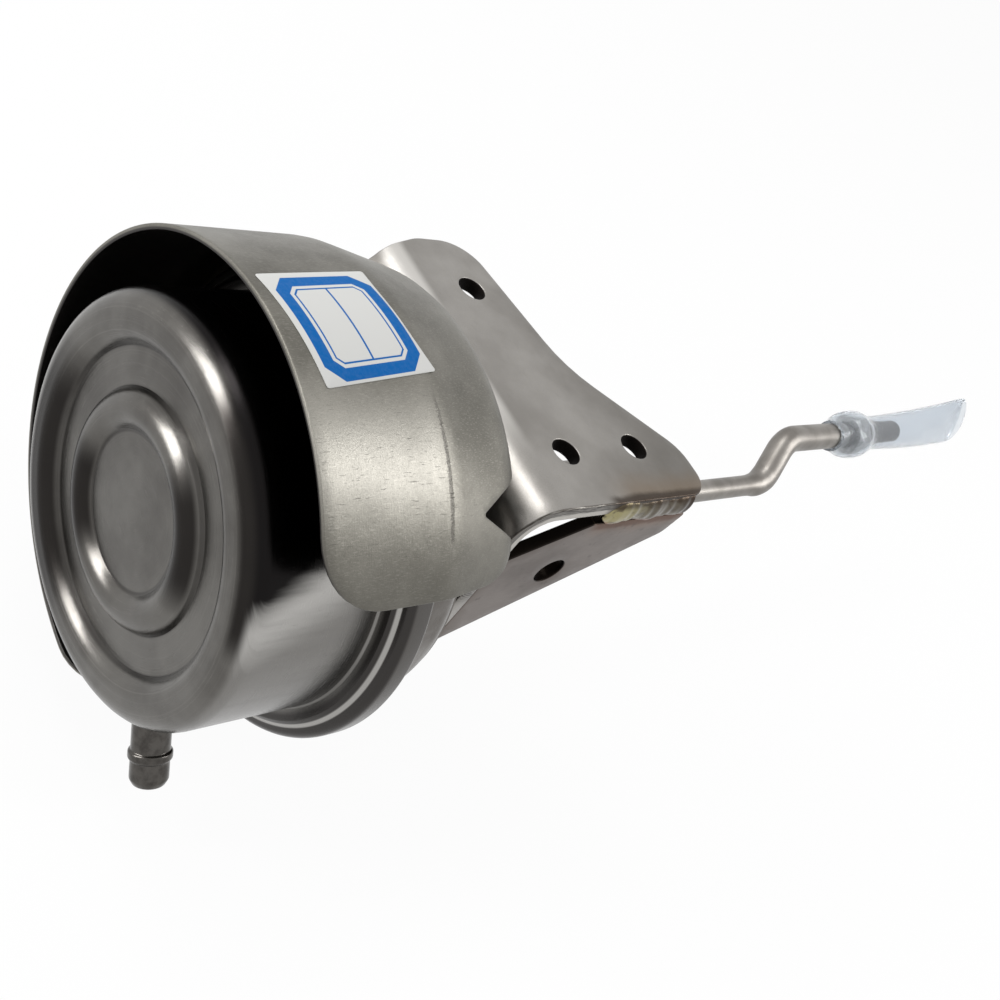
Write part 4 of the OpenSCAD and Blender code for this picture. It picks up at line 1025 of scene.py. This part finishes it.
# Camera: a plain camera, fitted to the ellipses of the photograph's can and to its holes. Its place and its
# three directions are in the frame's metres.
cam = bpy.data.cameras.new("camera")
cam.sensor_width = 36.0
cam.lens = 45.46
cam.clip_start = 0.01
cam_obj = bpy.data.objects.new("camera", cam)
bpy.context.scene.collection.objects.link(cam_obj)
right = Vector((0.70839, -0.47869, 0.51869))
up = Vector((0.07627, 0.78249, 0.61797))
back = Vector((-0.70169, -0.39821, 0.59082))
place = Matrix((right, up, back)).transposed().to_4x4()
place.translation = Vector((-0.170379, -0.087598, 0.117268))
cam_obj.matrix_world = place
bpy.context.scene.camera = cam_obj

# Floor: a plain pale sheet just under the object, which keeps its faint shadow. Camera rays, mirrors and
# clear plastic see it nearly white, and the room behind it white.
def seen(tree):
    """1 for camera, glossy and transmission rays, which see a white background, and 0 for the rest."""
    ray, out = tree.nodes.new("ShaderNodeLightPath"), None
    for key in ("Is Camera Ray", "Is Glossy Ray", "Is Transmission Ray"):
        if out is not None:
            n = tree.nodes.new("ShaderNodeMath")
            n.operation = "MAXIMUM"
            tree.links.new(out, n.inputs[0])
            tree.links.new(ray.outputs[key], n.inputs[1])
            out = n.outputs[0]
        else:
            out = ray.outputs[key]
    return out


floor_half, floor_z = 3, -0.0765
floor_mesh = bpy.data.meshes.new("floor")
floor_corners = [(a * floor_half, b * floor_half, floor_z) for a, b in ((-1, -1), (1, -1), (1, 1), (-1, 1))]
floor_mesh.from_pydata(floor_corners, [], [(0, 1, 2, 3)])
floor = bpy.data.objects.new("floor", floor_mesh)
bpy.context.scene.collection.objects.link(floor)
m = Mat("floor_white")
x, y, z = m.coords()
dirt = m.noise(m.vec(x * 0.01, y * 0.01, z), 1.0, 2, 0.5)
m.set(Base_Color=m.mix(dirt, (0.80, 0.80, 0.80), (0.76, 0.76, 0.76)), Roughness=0.6)
glow = m.node("ShaderNodeEmission")
choose = m.node("ShaderNodeMixShader")
m.put(choose.inputs[0], Sock(m, seen(m.tree)) * 0.94)
m.tree.links.new(m.bsdf.outputs[0], choose.inputs[1])
m.tree.links.new(glow.outputs[0], choose.inputs[2])
surface = next(n for n in m.tree.nodes if n.type == "OUTPUT_MATERIAL").inputs["Surface"]
m.tree.links.new(choose.outputs[0], surface)
floor_mesh.materials.append(m.m)

# Light: three soft boxes, placed by the camera's own directions round the can, and an even room at half
# strength. The camera, the mirrors and the clear plastic see the room white.
def lamp(name, spot, target, size, power):
    """An area lamp at spot that faces target, both in camera right, up and back directions from the can."""
    data = bpy.data.lights.new(name, "AREA")
    data.shape = "RECTANGLE"
    data.size, data.size_y = size
    data.energy = power
    obj = bpy.data.objects.new(name, data)
    bpy.context.scene.collection.objects.link(obj)
    middle = Vector((-0.02, 0.01, -0.03))
    base = Matrix((right, up, back)).transposed()
    p = middle + base @ Vector(spot)
    q = middle + base @ Vector(target)
    obj.matrix_world = (p - q).to_track_quat("Z", "Y").to_matrix().to_4x4()
    obj.matrix_world.translation = p


lamp("key", (0.15, 0.80, 0.44), (0, 0, 0), (0.40, 0.30), 2.6)
lamp("side", (0.80, 0.07, 0.03), (0, 0, 0), (0.20, 0.5), 2.6)
lamp("window", (-0.47, 0.33, 0.41), (-0.04, 0, 0), (0.24, 0.46), 4.4)
world = bpy.data.worlds.new("room")
world.use_nodes = True
bpy.context.scene.world = world
world_tree = world.node_tree
room = world_tree.nodes["Background"]
room.inputs["Color"].default_value = (1, 1, 1, 1)
room.inputs["Strength"].default_value = 0.5
white = world_tree.nodes.new("ShaderNodeBackground")
white.inputs["Color"].default_value = (1, 1, 1, 1)
mixer = world_tree.nodes.new("ShaderNodeMixShader")
world_tree.links.new(seen(world_tree), mixer.inputs[0])
world_tree.links.new(room.outputs[0], mixer.inputs[1])
world_tree.links.new(white.outputs[0], mixer.inputs[2])
world_tree.links.new(mixer.outputs[0], world_tree.nodes["World Output"].inputs["Surface"])
bpy.context.scene.view_settings.view_transform = "Standard"
